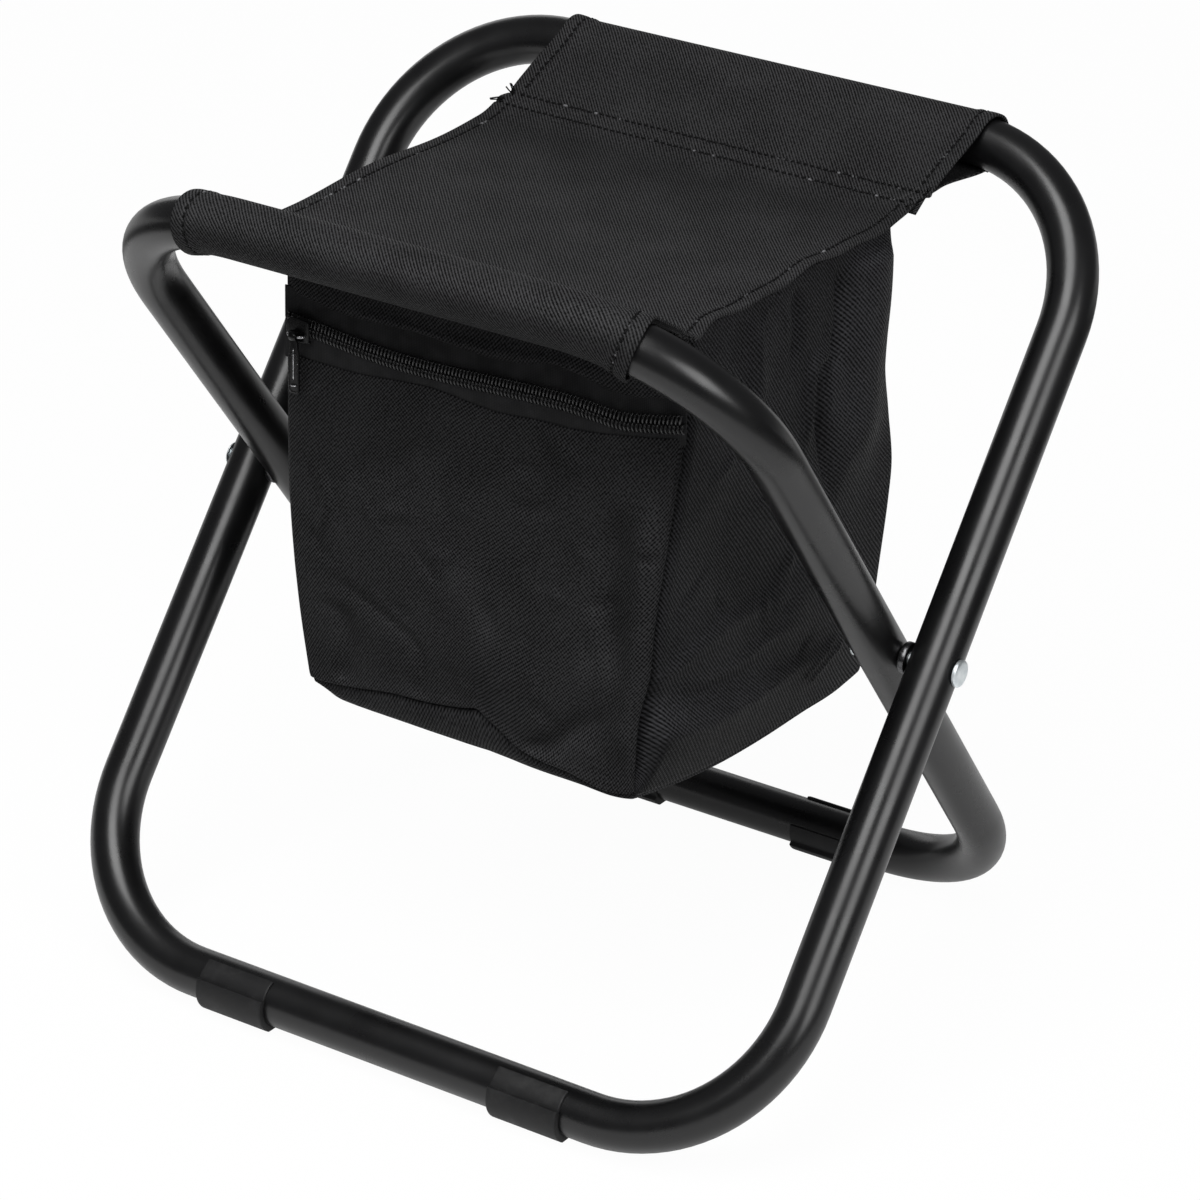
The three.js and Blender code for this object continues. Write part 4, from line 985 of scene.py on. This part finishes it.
# Where the right panel gets a painted sheen: heights, and the y of its front and back edges there
PAINTED_SHEEN_Z = [200.0, 210.0, 217.0, 232.0, 236.0, 253.0, 264.0, 271.0, 282.0, 290.0, 300.0]
PAINTED_SHEEN_FRONT = [38.0, 35.9, 33.0, 28.4, 28.0, 27.5, 35.1, 35.0, 34.4, 33.0, 32.3]
PAINTED_SHEEN_BACK = [43.0, 50.0, 57.0, 62.0, 64.0, 67.2, 69.0, 70.3, 72.5, 73.5, 74.5]


def wall_painted_light(points, lift, pale):
    """Painted light and shade of a wall: paler where its folds face up and darker under them, as painted
    highlight and shade; on the right panel also a painted sheen over part of it, a painted highlight on top
    of the flap, and painted shade below its crest."""
    drop = np.gradient(points[..., 2], axis=0)
    dust_and_painted_light = np.clip(-1.3 * np.gradient(lift, axis=0) / np.where(np.abs(drop) < 0.05, -0.05, drop), -0.45, 0.45)
    if pale:
        y, z = points[..., 1], points[..., 2]
        front, back = np.interp(z, PAINTED_SHEEN_Z, PAINTED_SHEEN_FRONT), np.interp(z, PAINTED_SHEEN_Z, PAINTED_SHEEN_BACK)
        painted_sheen = 0.55 * ease((y - front) / 4.0) * ease((back - y) / 18.0)
        dust_and_painted_light = dust_and_painted_light + painted_sheen * ease((z - 200) / 40.0) * ease((304 - z) / 8.0)
        crest = np.interp(y, RIGHT_FLAP[:, 0], RIGHT_FLAP[:, 2])
        dust_and_painted_light = dust_and_painted_light - 0.35 * ease((crest - z) / 5.0) * ease((60 - y) / 60.0)
        dust_and_painted_light = dust_and_painted_light + 0.7 * np.exp(-((y + 58.0) / 15.0) ** 2 - ((z - 149.0 + 0.28 * (y + 58.0)) / 5.5) ** 2)
    return dust_and_painted_light


def seam_pocket(far, height):
    """Valley beside the right panel's front seam: a bell of the distance from the seam,
    deeper and wider at the flap, easing out towards the foot."""
    low = np.exp(-((height - 147.0) / 14.0) ** 2)
    valley = np.exp(-((far - 2.0 - low) / (1.4 + 1.8 * low)) ** 2) * ease(far / 0.9)
    return (7.5 + 6.0 * low) * valley * ease((height - 122.0) / 10.0)


def wall_panel(left, right, foot_edge, u, out, bulge, lines, rows, top=None):
    """One wall: the sewn patch between two seams, moved outwards by its bulge and its folds, both of which
    die out towards the sewn edges. Returns its points and its painted light and shade."""
    left, right = SEAMS[left][rows], SEAMS[right][rows]
    v = np.linalg.norm(np.diff(left, axis=0), axis=1)
    v = np.r_[0.0, np.cumsum(v)] / v.sum()
    if top is None:
        top = left[0] + (right[0] - left[0]) * u[:, None]
    if foot_edge is None:
        foot_edge = left[-1] + (right[-1] - left[-1]) * u[:, None]
    points = sewn_patch(top, foot_edge, left, right, u, v)
    flat = points[..., [1, 2] if abs(out[0]) > 0.5 else [0, 2]].reshape(-1, 2)
    width = np.linalg.norm(right.mean(0) - left.mean(0))
    side_hold = ease(np.minimum(u, 1 - u) * width / 7.0)
    foot_hold = ease((1 - v) * BAG_WALL / 8.0)
    lift = bulge(u, v) + folds(flat, lines).reshape(points.shape[:2]) * side_hold[None] * foot_hold[:, None]
    if lines is RIGHT_FOLDS:
        lift += right_flap(flat).reshape(lift.shape) * side_hold[None]
        lift -= seam_pocket((u * width)[None], points[..., 2])
    return points + lift[..., None] * out, wall_painted_light(points, lift - bulge(u, v), lines is RIGHT_FOLDS)


ALL_ROWS = np.arange(PANEL_ROW + len(LOW_SHARE))
LOW_ROWS = ALL_ROWS[PANEL_ROW:]
STRIP = ALL_ROWS[:STRIP_ROWS]
FORWARD, BACKWARD = np.array([0.0, -1.0, 0.0]), np.array([0.0, 1.0, 0.0])
RIGHTWARD, LEFTWARD = np.array([1.0, 0.0, 0.0]), np.array([-1.0, 0.0, 0.0])


def zip_edge(row, knots, out):
    """The cloth's edge beside the zip: out in front of the tape, waving along its own
    heights, drawn into the corner seams at both ends."""
    left, right = SEAMS["front_left"][row], SEAMS["front_right"][row]
    edge = left + (right - left) * ACROSS[:, None]
    hold = ease(np.minimum(ACROSS, 1 - ACROSS) * BAG_WIDTH / 7.0)
    edge[:, 1] += (zip_face(edge[:, 0]) - out - edge[:, 1]) * hold
    edge[:, 2] += (height_along(knots, edge[:, 0]) - edge[:, 2]) * hold
    return edge


def front_swell(u, v):
    """Bulge of the front panel: flush with the zip at its top, and a lip above its foot."""
    near_foot = np.exp(-(((1 - v) * BAG_WALL - 3.2) / 2.2) ** 2)
    lip = near_foot[:, None] * ease(np.minimum(u, 1 - u) * BAG_WIDTH / 12.0)[None]
    return 2.4 * pillow(u, v, 0.6) * ease(v / 0.35)[:, None] + 1.2 * lip


# How far the cloth's edges below and above the zip stand in front of its tape
PANEL_OUT, STRIP_OUT = 0.45, -0.2
low_front, low_painted_light = wall_panel(
    "front_left", "front_right", FEET["front"], ACROSS, FORWARD, front_swell, FRONT_FOLDS, LOW_ROWS,
    top=zip_edge(PANEL_ROW, PANEL_EDGE, PANEL_OUT))
strip_front, strip_painted_light = wall_panel(
    "front_left", "front_right", zip_edge(STRIP[-1], STRIP_EDGE, STRIP_OUT), ACROSS, FORWARD,
    lambda u, v: 2.6 * pillow(u, v, 0.5), STRIP_FOLDS, STRIP)
right_wall, right_painted_light = wall_panel(
    "front_right", "back_right", FEET["right"], DEEP, RIGHTWARD,
    lambda u, v: 2.0 * pillow(u, v), RIGHT_FOLDS, ALL_ROWS)
back_wall, back_painted_light = wall_panel(
    "back_left", "back_right", FEET["back"], ACROSS, BACKWARD,
    lambda u, v: 4.0 * pillow(u, v), BACK_FOLDS, ALL_ROWS)
left_wall, left_painted_light = wall_panel(
    "front_left", "back_left", FEET["left"], DEEP, LEFTWARD,
    lambda u, v: 2.0 * pillow(u, v), LEFT_FOLDS, ALL_ROWS)


def bag_bottom():
    """The bottom panel: the sewn patch between the four foot seams, hanging in a belly.
    In front it drops steeply from the raised part of its seam, and stands out there."""
    raised = FEET["front"][:, 2] - np.interp(FEET["front"][:, 0], [-75.1, 75.8], [119.0, 117.5])
    raised = raised * ease(np.minimum(ACROSS, 1 - ACROSS) * BOTTOM_WIDTH / 14.0)
    front = FEET["front"].copy()
    front[:, 2] -= raised
    points = sewn_patch(front, FEET["back"], FEET["left"], FEET["right"], ACROSS, DEEP)
    depth = (DEEP * BAG_DEPTH)[:, None]
    near = np.exp(-(depth / 3.2) ** 2)
    belly = 5.5 * pillow(ACROSS, DEEP, 0.45)
    points[..., 2] += raised[None] * near - belly
    brow = np.exp(-((depth - 2.2) / 2.4) ** 2) * (depth > 0)
    points[..., 1] -= 0.16 * np.maximum(raised, 0.0)[None] * brow
    ripples = folds(points[..., :2].reshape(-1, 2), [
        (1.6, 7.0, 7.0, (0.3, 0.3), [(-60, -60), (-20, -20), (10, 30)]),
        (-1.6, 8.0, 8.0, (0.3, 0.3), [(60, -50), (30, -10), (-10, 40)])])
    hold = pillow(ACROSS, DEEP, 0.5)
    points[..., 2] -= ripples.reshape(hold.shape) * hold
    return points


bottom_wall = bag_bottom()


# Corner and foot seams: line, outward direction, depth of the groove, its width
SEAM_LINES = [
    (SEAMS["front_left"], (-1, -1, 0), 1.5, 1.5), (SEAMS["front_right"], (1, -1, 0), 1.6, 1.5),
    (SEAMS["back_right"], (1, 1, 0), 1.2, 1.5), (SEAMS["back_left"], (-1, 1, 0), 1.2, 1.5),
    (FEET["front"], (0, -1, -1), 3.0, 1.4), (FEET["right"], (1, 0, -1), 1.5, 1.5),
    (FEET["back"], (0, 1, -1), 1.5, 1.5), (FEET["left"], (-1, 0, -1), 1.5, 1.5),
]


def sew(points):
    """Seam grooves: each point is drawn inwards along a seam's own outward direction by
    a bell of its distance to that seam, so panels that share a seam stay joined."""
    flat = points.reshape(-1, 3)
    drawn = np.zeros_like(flat)
    for line, out, depth, width in SEAM_LINES:
        coarse = line[::2] if len(line) % 2 else np.concatenate([line[::2], line[-1:]])
        far = path_distance(flat, coarse)[0]
        drawn -= (depth * np.exp(-(far / width) ** 2))[:, None] * unit(np.array(out, float))
    return (flat + drawn).reshape(points.shape)


def panel_uv(points, flip):
    """UV of a panel in millimetres: the mean length along its rows, and down its columns."""
    along = np.r_[0.0, np.cumsum(np.linalg.norm(np.diff(points, axis=1), axis=2).mean(0))]
    down = np.r_[0.0, np.cumsum(np.linalg.norm(np.diff(points, axis=0), axis=2).mean(1))]
    u, v = np.meshgrid(along, -down)
    return grid_uv(-u if flip else u, v)


# Points, painted light and shade, whether its faces are turned over, and which cloth
panels = [(strip_front, strip_painted_light, False, 0), (low_front, low_painted_light, False, 0),
          (right_wall, right_painted_light, False, 1), (back_wall, back_painted_light, True, 0),
          (left_wall, left_painted_light, True, 1), (bottom_wall, np.zeros(bottom_wall.shape[:2]), False, 0)]
shell_points, shell_faces, shell_uv, shell_cloth, count = [], [], [], [], 0
for points, _, flip, cloth in panels:
    rows, cols = points.shape[:2]
    faces = quads(rows, cols)
    uv = panel_uv(points, flip).reshape(-1, 4, 2)
    if not flip:
        faces, uv = faces[:, ::-1], uv[:, ::-1]
    shell_points.append(sew(points).reshape(-1, 3))
    shell_faces.append(faces + count)
    shell_uv.append(uv.reshape(-1, 2))
    shell_cloth.append(np.full(len(faces), cloth))
    count += rows * cols
bag = add_piece("bag_shell", np.concatenate(shell_points), shell_faces, BAG_CLOTH,
                uv=np.concatenate(shell_uv), closed=False)
bag.data.materials.append(SIDE_CLOTH)
# Painted light and shade of every panel, which the cloth finishes read
add_painted_light(bag, np.concatenate([panel[1].ravel() for panel in panels]))
bag.data.polygons.foreach_set("material_index", np.concatenate(shell_cloth))
sewn = bmesh.new()
sewn.from_mesh(bag.data)
bmesh.ops.remove_doubles(sewn, verts=sewn.verts, dist=0.02 * MM)
sewn.to_mesh(bag.data)
sewn.free()
thicken(bag, CLOTH)
finish_piece(bag, "cloth", "bag_front", "bag_front_strip", "bag_left", "bag_right", "bag_back", "bag_bottom")
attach(bag, "bag")
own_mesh(bag)


# Cooler lining

def lining_shell():
    """Closed soft box inside the bag: rounded rectangles from the top sheet down to the
    bottom sheet, drawn in at both ends and slightly quilted."""
    level = np.r_[0.0, 0.0, 0.006, 0.02, np.linspace(0.05, 0.95, 30), 0.98, 0.994, 1.0, 1.0]
    inset = np.r_[60.0, 6.0, 2.2, 0.5, np.zeros(30), 0.5, 2.2, 6.0, 60.0]
    z = LINING_TOP + (LINING_FOOT - LINING_TOP) * level
    half_x = 85.0 + (71.5 - 85.0) * level - inset
    half_y = 68.5 - np.minimum(inset, 48.0)
    turn = (np.arange(96) + 0.5) * 2 * np.pi / 96
    c, s = np.cos(turn), np.sin(turn)
    square = (np.abs(c) ** 8 + np.abs(s) ** 8) ** (-1 / 8)
    quilt = 1 - 0.006 * (1 + np.sin(9 * turn)[None] * np.sin(16 * level)[:, None])
    x = half_x[:, None] * (square * c)[None] * quilt
    y = half_y[:, None] * (square * s)[None] * quilt
    return np.stack([x, y, np.broadcast_to(z[:, None], x.shape)], -1)


lining = add_rings("cooler_lining", lining_shell(), FOIL)
finish_piece(lining, "lining", "lining_front", "lining_back", "lining_left", "lining_right", "lining_bottom",
             "lining_top")
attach(lining, "bag")
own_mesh(lining)


# Zip

def zip_tape(name, edges, finish, node):
    """A tape strip behind the zip: a thin closed band that follows the bag's front, from
    the zip's middle to a little past the cloth's edge."""
    x = np.linspace(*TAPE_ENDS, 120)
    middle = height_along(ZIP_LINE, x)
    edge = height_along(edges, x)
    side = np.sign(edge - middle)
    inner, outer_edge = middle + 0.15 * side, edge + 2.2 * side
    depth = np.array([0.0, 0.0, TAPE_THICKNESS, TAPE_THICKNESS])
    z = np.stack([inner, outer_edge, outer_edge, inner], 1)
    rings = np.stack([np.broadcast_to(x[:, None], z.shape), zip_face(x)[:, None] + depth, z], -1)
    tape = add_rings(name, rings, finish, sharp=40)
    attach(finish_piece(tape, "zip_nylon", node), "bag_front_wall")


zip_tape("zip_tape_top", STRIP_EDGE, TAPE_PAINTED_SHADE, "zip_tape_upper")
zip_tape("zip_tape_foot", PANEL_EDGE, TAPE_LOWER, "zip_tape_lower")


def coil_row(side):
    """One row of a coil zip: a wire wound in flat turns of the pitch, from the tape's
    edge to the middle of the zip, thicker at its middle end where it hooks the other."""
    t = np.linspace(0.0, COIL_TURNS * 2 * np.pi, COIL_TURNS * 12 + 1)
    x = COIL_START + COIL_PITCH * (t / (2 * np.pi) + (0.5 if side < 0 else 0.0))
    reach = 1.75 + 1.7 * np.cos(t)
    lift = 1.15 - 0.95 * np.sin(t)
    head = np.exp(-((np.cos(t) + 1) / 0.45) ** 2)
    path = np.stack([x, zip_face(x) - lift, height_along(ZIP_LINE, x) + side * (reach + 0.05)], -1)
    return path[None], (0.34 + 0.12 * head)[None]


for side, word in ((1, "upper"), (-1, "lower")):
    path, radius = coil_row(side)
    points, faces = sweep(path, radius, 6, (1.0, 0.0, 0.0))
    coil = add_piece(f"zip_coil_{word}", points, faces, COIL_NYLON)
    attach(finish_piece(coil, "zip_nylon", f"zip_teeth_{word}"), "bag_front_wall")


def plate_rings(outline, y_front, y_back, edge):
    """A flat plate cut to an outline in x and z, its edges rounded: rings drawn in
    towards the outline's centre by a quarter circle at the front and the back."""
    outline = np.asarray(outline, float)
    middle = outline.mean(0)
    turn = np.linspace(0, np.pi / 2, 5)
    inset = np.r_[edge * (1 - np.sin(turn)), (edge * (1 - np.cos(turn)))]
    y = np.r_[y_front + edge * (1 - np.cos(turn)), y_back - edge * (1 - np.sin(turn))]
    ray = unit(outline - middle)
    ring = outline[None] - ray[None] * inset[:, None, None]
    return np.stack([ring[..., 0], np.broadcast_to(y[:, None], ring.shape[:2]), ring[..., 1]], -1)


def rounded(points, radius, steps=6):
    """A polygon in x and z with its corners rounded: each corner becomes a quadratic
    curve between the points a radius along its two sides."""
    points = np.asarray(points, float)
    before, after = np.roll(points, 1, 0), np.roll(points, -1, 0)
    start = points + radius * unit(before - points)
    end = points + radius * unit(after - points)
    t = np.linspace(0, 1, steps)[None, :, None]
    curve = (1 - t) ** 2 * start[:, None] + 2 * t * (1 - t) * points[:, None] + t**2 * end[:, None]
    return curve.reshape(-1, 2)


def bar_piece(path, radius, sides, guide=(0.0, 0.0, 1.0)):
    """One round wire along a path: its points and faces."""
    return sweep(np.asarray(path, float)[None], radius, sides, guide)


def join_meshes(name, parts, finish, sharp=None):
    """Several closed solids in one piece."""
    points, faces, count = [], [], 0
    for p, f in parts:
        p = np.asarray(p).reshape(-1, 3)
        points.append(p)
        faces += [np.asarray(part) + count for part in f]
        count += len(p)
    return add_piece(name, np.concatenate(points), faces, finish, sharp=sharp)


def slider_piece():
    """Zip slider: a shield-shaped front plate and back plate, two rolled flanges, and a
    bail that arches from nose to tail."""
    x0, z0 = HINGE[0], ZIP_Z + BODY_RISE
    shield = rounded([(x0 - 5.1, z0 - 3.4), (x0 - 2.6, z0 - 4.9), (x0 + 5.2, z0 - 4.3), (x0 + 5.2, z0 + 4.3),
                      (x0 - 2.6, z0 + 4.9), (x0 - 5.1, z0 + 3.4)], 1.3)
    front = plate_rings(shield, -76.3, -75.1, 0.45)
    back = plate_rings(shield, -71.2, -70.2, 0.4)
    parts = [ring_faces(front), ring_faces(back)]
    for side in (1, -1):
        flange = through([(x0 - 3.4, -74.6, z0 + side * 4.75), (x0 + 0.5, -74.6, z0 + side * 4.5),
                          (x0 + 4.9, -74.6, z0 + side * 4.1)], np.linspace(0, 1, 8))
        parts.append(bar_piece(flange, 0.62, 8))
    post = through([(x0 - 4.0, y, z0) for y in (-75.6, -73.0, -70.6)], np.linspace(0, 1, 5))
    parts.append(bar_piece(post, 0.8, 8))
    z0 = ZIP_Z
    bail = through([(x0 - 3.4, -75.4, z0), (x0 - 3.35, -77.2, z0), (x0 - 2.3, -78.05, z0),
                    (x0, -78.05, z0), (x0 + 2.3, -78.05, z0), (x0 + 3.35, -77.2, z0),
                    (x0 + 3.4, -75.4, z0)], np.linspace(0, 1, 28))
    arch = join_meshes("zip_slider_bail", [bar_piece(bail, 0.62, 12)], RUBBED_METAL, sharp=45)
    return join_meshes("zip_slider_body", parts, ENAMEL, sharp=45), arch


def pull_piece():
    """Zip pull: a rolled eye round the bail, a neck and a long tab whose face is sunk
    inside a raised rim, with a bright rib down its middle and a bright boss near its end."""
    x0, y0, z0 = HINGE
    spin = np.linspace(0, 2 * np.pi, 25)[:-1]
    wide = np.array([-1.55, -1.3, 0.0, 1.3, 1.55])
    swell = np.array([1.75, 1.95, 2.0, 1.95, 1.75])
    outside = np.stack([np.broadcast_to(x0 + wide[:, None], (5, 24)), y0 + swell[:, None] * np.cos(spin),
                        z0 + swell[:, None] * np.sin(spin)], -1)
    hole = np.full(5, 1.05)
    bore = np.stack([np.broadcast_to(x0 + wide[::-1, None], (5, 24)), y0 + hole[:, None] * np.cos(spin),
                     z0 + hole[:, None] * np.sin(spin)], -1)
    eye = np.concatenate([outside, bore])
    eye_faces = [quads(11, 24, True) % 240]
    tab = rounded([(x0 - 1.7, z0 - 1.6), (x0 - 1.7, z0 - 4.4), (x0 - 2.3, z0 - 6.4), (x0 - 2.3, z0 - 22.9),
                   (x0 + 2.3, z0 - 22.9), (x0 + 2.3, z0 - 6.4), (x0 + 1.7, z0 - 4.4),
                   (x0 + 1.7, z0 - 1.6)], 1.2)
    plate = plate_rings(tab, y0 - 0.55, y0 + 0.55, 0.3)
    rim_line = rounded([(x0 - 1.9, z0 - 6.9), (x0 - 1.9, z0 - 22.3),
                        (x0 + 1.9, z0 - 22.3), (x0 + 1.9, z0 - 6.9)], 1.2, 7)
    rim_line = np.concatenate([rim_line, rim_line[:2]])
    rim = np.stack([rim_line[:, 0], np.full(len(rim_line), y0 - 0.55), rim_line[:, 1]], -1)
    boss_z = z0 - 19.6
    boss = through([(x0 - 1.1, y0 - 0.5, boss_z), (x0 - 0.9, y0 - 1.0, boss_z), (x0, y0 - 1.15, boss_z),
                    (x0 + 0.9, y0 - 1.0, boss_z), (x0 + 1.1, y0 - 0.5, boss_z)], np.linspace(0, 1, 9))
    rib = np.stack([np.full(9, x0), np.full(9, y0 - 0.6), z0 - np.linspace(5.0, 17.6, 9)], 1)
    parts = [(eye, eye_faces), ring_faces(plate), bar_piece(rim, 0.3, 8, (0.0, 1.0, 0.0))]
    bright = join_meshes("zip_pull_rib", [bar_piece(rib, 0.18, 8, (1.0, 0.0, 0.0)), bar_piece(boss, 0.3, 8)],
                         RUBBED_METAL)
    return join_meshes("zip_pull_tab", parts, ENAMEL, sharp=45), bright


slider, bail = slider_piece()
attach(finish_piece(slider, "zip_metal", "zip_slider"), "slider")
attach(finish_piece(bail, "zip_metal"), "slider")
tab, rib = pull_piece()
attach(finish_piece(tab, "zip_metal", "zip_pull"), "pull")
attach(finish_piece(rib, "zip_metal"), "pull")


# Floor, light and camera

# Metres over which the floor's glow seen in reflections, a painted reflection, dims round the object, and
# pales again behind it
POOL = (0.64, 0.8)
POOL_BEHIND = (0.5, 0.95)
STRAIGHT_BACK = (-0.544, 0.839, 0.0)


def lit_ground(name):
    """White ground that stays white to the eye and keeps a pale shadow. To reflections it glows as a pale
    pool near the object and a paler stretch behind it, a painted reflection, and is dark elsewhere; to light
    bounced off it, it is darker than to the eye."""
    finish = bpy.data.materials.new(name)
    finish.use_nodes = True
    finish.node_tree.nodes.clear()
    path = add_node(finish, "ShaderNodeLightPath").outputs
    away = add_node(finish, "ShaderNodeVectorMath", {0: place(finish)}, operation="LENGTH").outputs["Value"]
    behind = add_node(finish, "ShaderNodeVectorMath", {0: place(finish), 1: STRAIGHT_BACK},
                      operation="DOT_PRODUCT").outputs["Value"]
    near = sum_of(finish, "MAXIMUM", between(finish, away, 0.3, 0.0, *POOL),
                  between(finish, behind, 0.0, 0.6, *POOL_BEHIND))
    gloss = sum_of(finish, "MAXIMUM", path["Is Glossy Ray"], path["Is Transmission Ray"])
    seen = sum_of(finish, "MAXIMUM", sum_of(finish, "MULTIPLY", path["Is Camera Ray"], 0.97),
                  sum_of(finish, "MULTIPLY", gloss, near))
    dark_gloss = sum_of(finish, "MULTIPLY", path["Is Glossy Ray"], between(finish, away, 0.0, 1.0, *POOL))
    bounce = sum_of(finish, "MAXIMUM", sum_of(finish, "MULTIPLY", path["Is Diffuse Ray"], 0.55), dark_gloss)
    shade = tint(finish, bounce, (0.92, 0.92, 0.92), (0.12, 0.12, 0.12))
    matt = add_node(finish, "ShaderNodeBsdfDiffuse", {"Color": shade})
    glow = add_node(finish, "ShaderNodeEmission", {"Color": (1.0, 1.0, 1.0, 1.0)})
    mix = add_node(finish, "ShaderNodeMixShader", {0: seen, 1: matt.outputs[0], 2: glow.outputs[0]})
    add_node(finish, "ShaderNodeOutputMaterial", {"Surface": mix.outputs[0]})
    return finish


FLOOR_HALF, FLOOR_Z = 12000.0, -0.2
floor_line = np.linspace(-FLOOR_HALF, FLOOR_HALF, 5)
floor_x, floor_y = np.meshgrid(floor_line, floor_line)
floor = add_piece("floor", np.stack([floor_x, floor_y, np.full_like(floor_x, FLOOR_Z)], -1), [quads(5, 5)],
                  lit_ground("pale_ground"), closed=False)

world = bpy.data.worlds.new("studio")
world.use_nodes = True
world.node_tree.nodes.clear()
bpy.context.scene.world = world
path = add_node(world, "ShaderNodeLightPath").outputs
seen = sum_of(world, "MAXIMUM", path["Is Camera Ray"], path["Is Transmission Ray"])
dim = add_node(world, "ShaderNodeBackground", {"Color": (0.12, 0.12, 0.124, 1.0)})
white = add_node(world, "ShaderNodeBackground", {"Color": (1.0, 1.0, 1.0, 1.0)})
mix = add_node(world, "ShaderNodeMixShader", {0: seen, 1: dim.outputs[0], 2: white.outputs[0]})
add_node(world, "ShaderNodeOutputWorld", {"Surface": mix.outputs[0]})


def stand(thing, right, up, back, at):
    """Puts a lamp or a camera in the scene: its right, up and back directions, and its place."""
    bpy.context.scene.collection.objects.link(thing)
    turn = np.eye(4)
    turn[:3] = np.stack([right, up, back, at], 1)
    thing.matrix_world = Matrix(turn.tolist())


def soft_box(name, at, target, size, power):
    """A soft rectangular lamp that faces a target, both in metres."""
    lamp = bpy.data.lights.new(name, "AREA")
    lamp.shape = "RECTANGLE"
    lamp.size, lamp.size_y = size
    lamp.energy = power
    at, target = np.array(at, float), np.array(target, float)
    back = unit(at - target)
    right = unit(np.cross([0.0, 0.0, 1.0], back))
    stand(bpy.data.objects.new(name, lamp), right, np.cross(back, right), back, at)


MIDDLE = (0.0, 0.0, 0.18)
soft_box("key_softbox", (0.13, -1.02, 1.9), MIDDLE, (1.1, 1.7), 41.0)
soft_box("right_softbox", (2.2, -0.85, 1.28), MIDDLE, (1.2, 1.3), 27.0)
soft_box("rear_softbox", (-1.7, 1.9, 0.75), MIDDLE, (1.6, 1.0), 4.5)

camera_data = bpy.data.cameras.new("camera")
camera_data.lens = 140.324
camera_data.sensor_width = 36.0
camera = bpy.data.objects.new("camera", camera_data)
stand(camera, (0.83208425, 0.55412616, 0.02408321), (-0.25513349, 0.34383583, 0.90370561),
      (0.49248625, -0.75810364, 0.42747652), (0.89433, -1.36161, 0.92113))
bpy.context.scene.camera = camera
bpy.context.scene.view_settings.view_transform = "Standard"
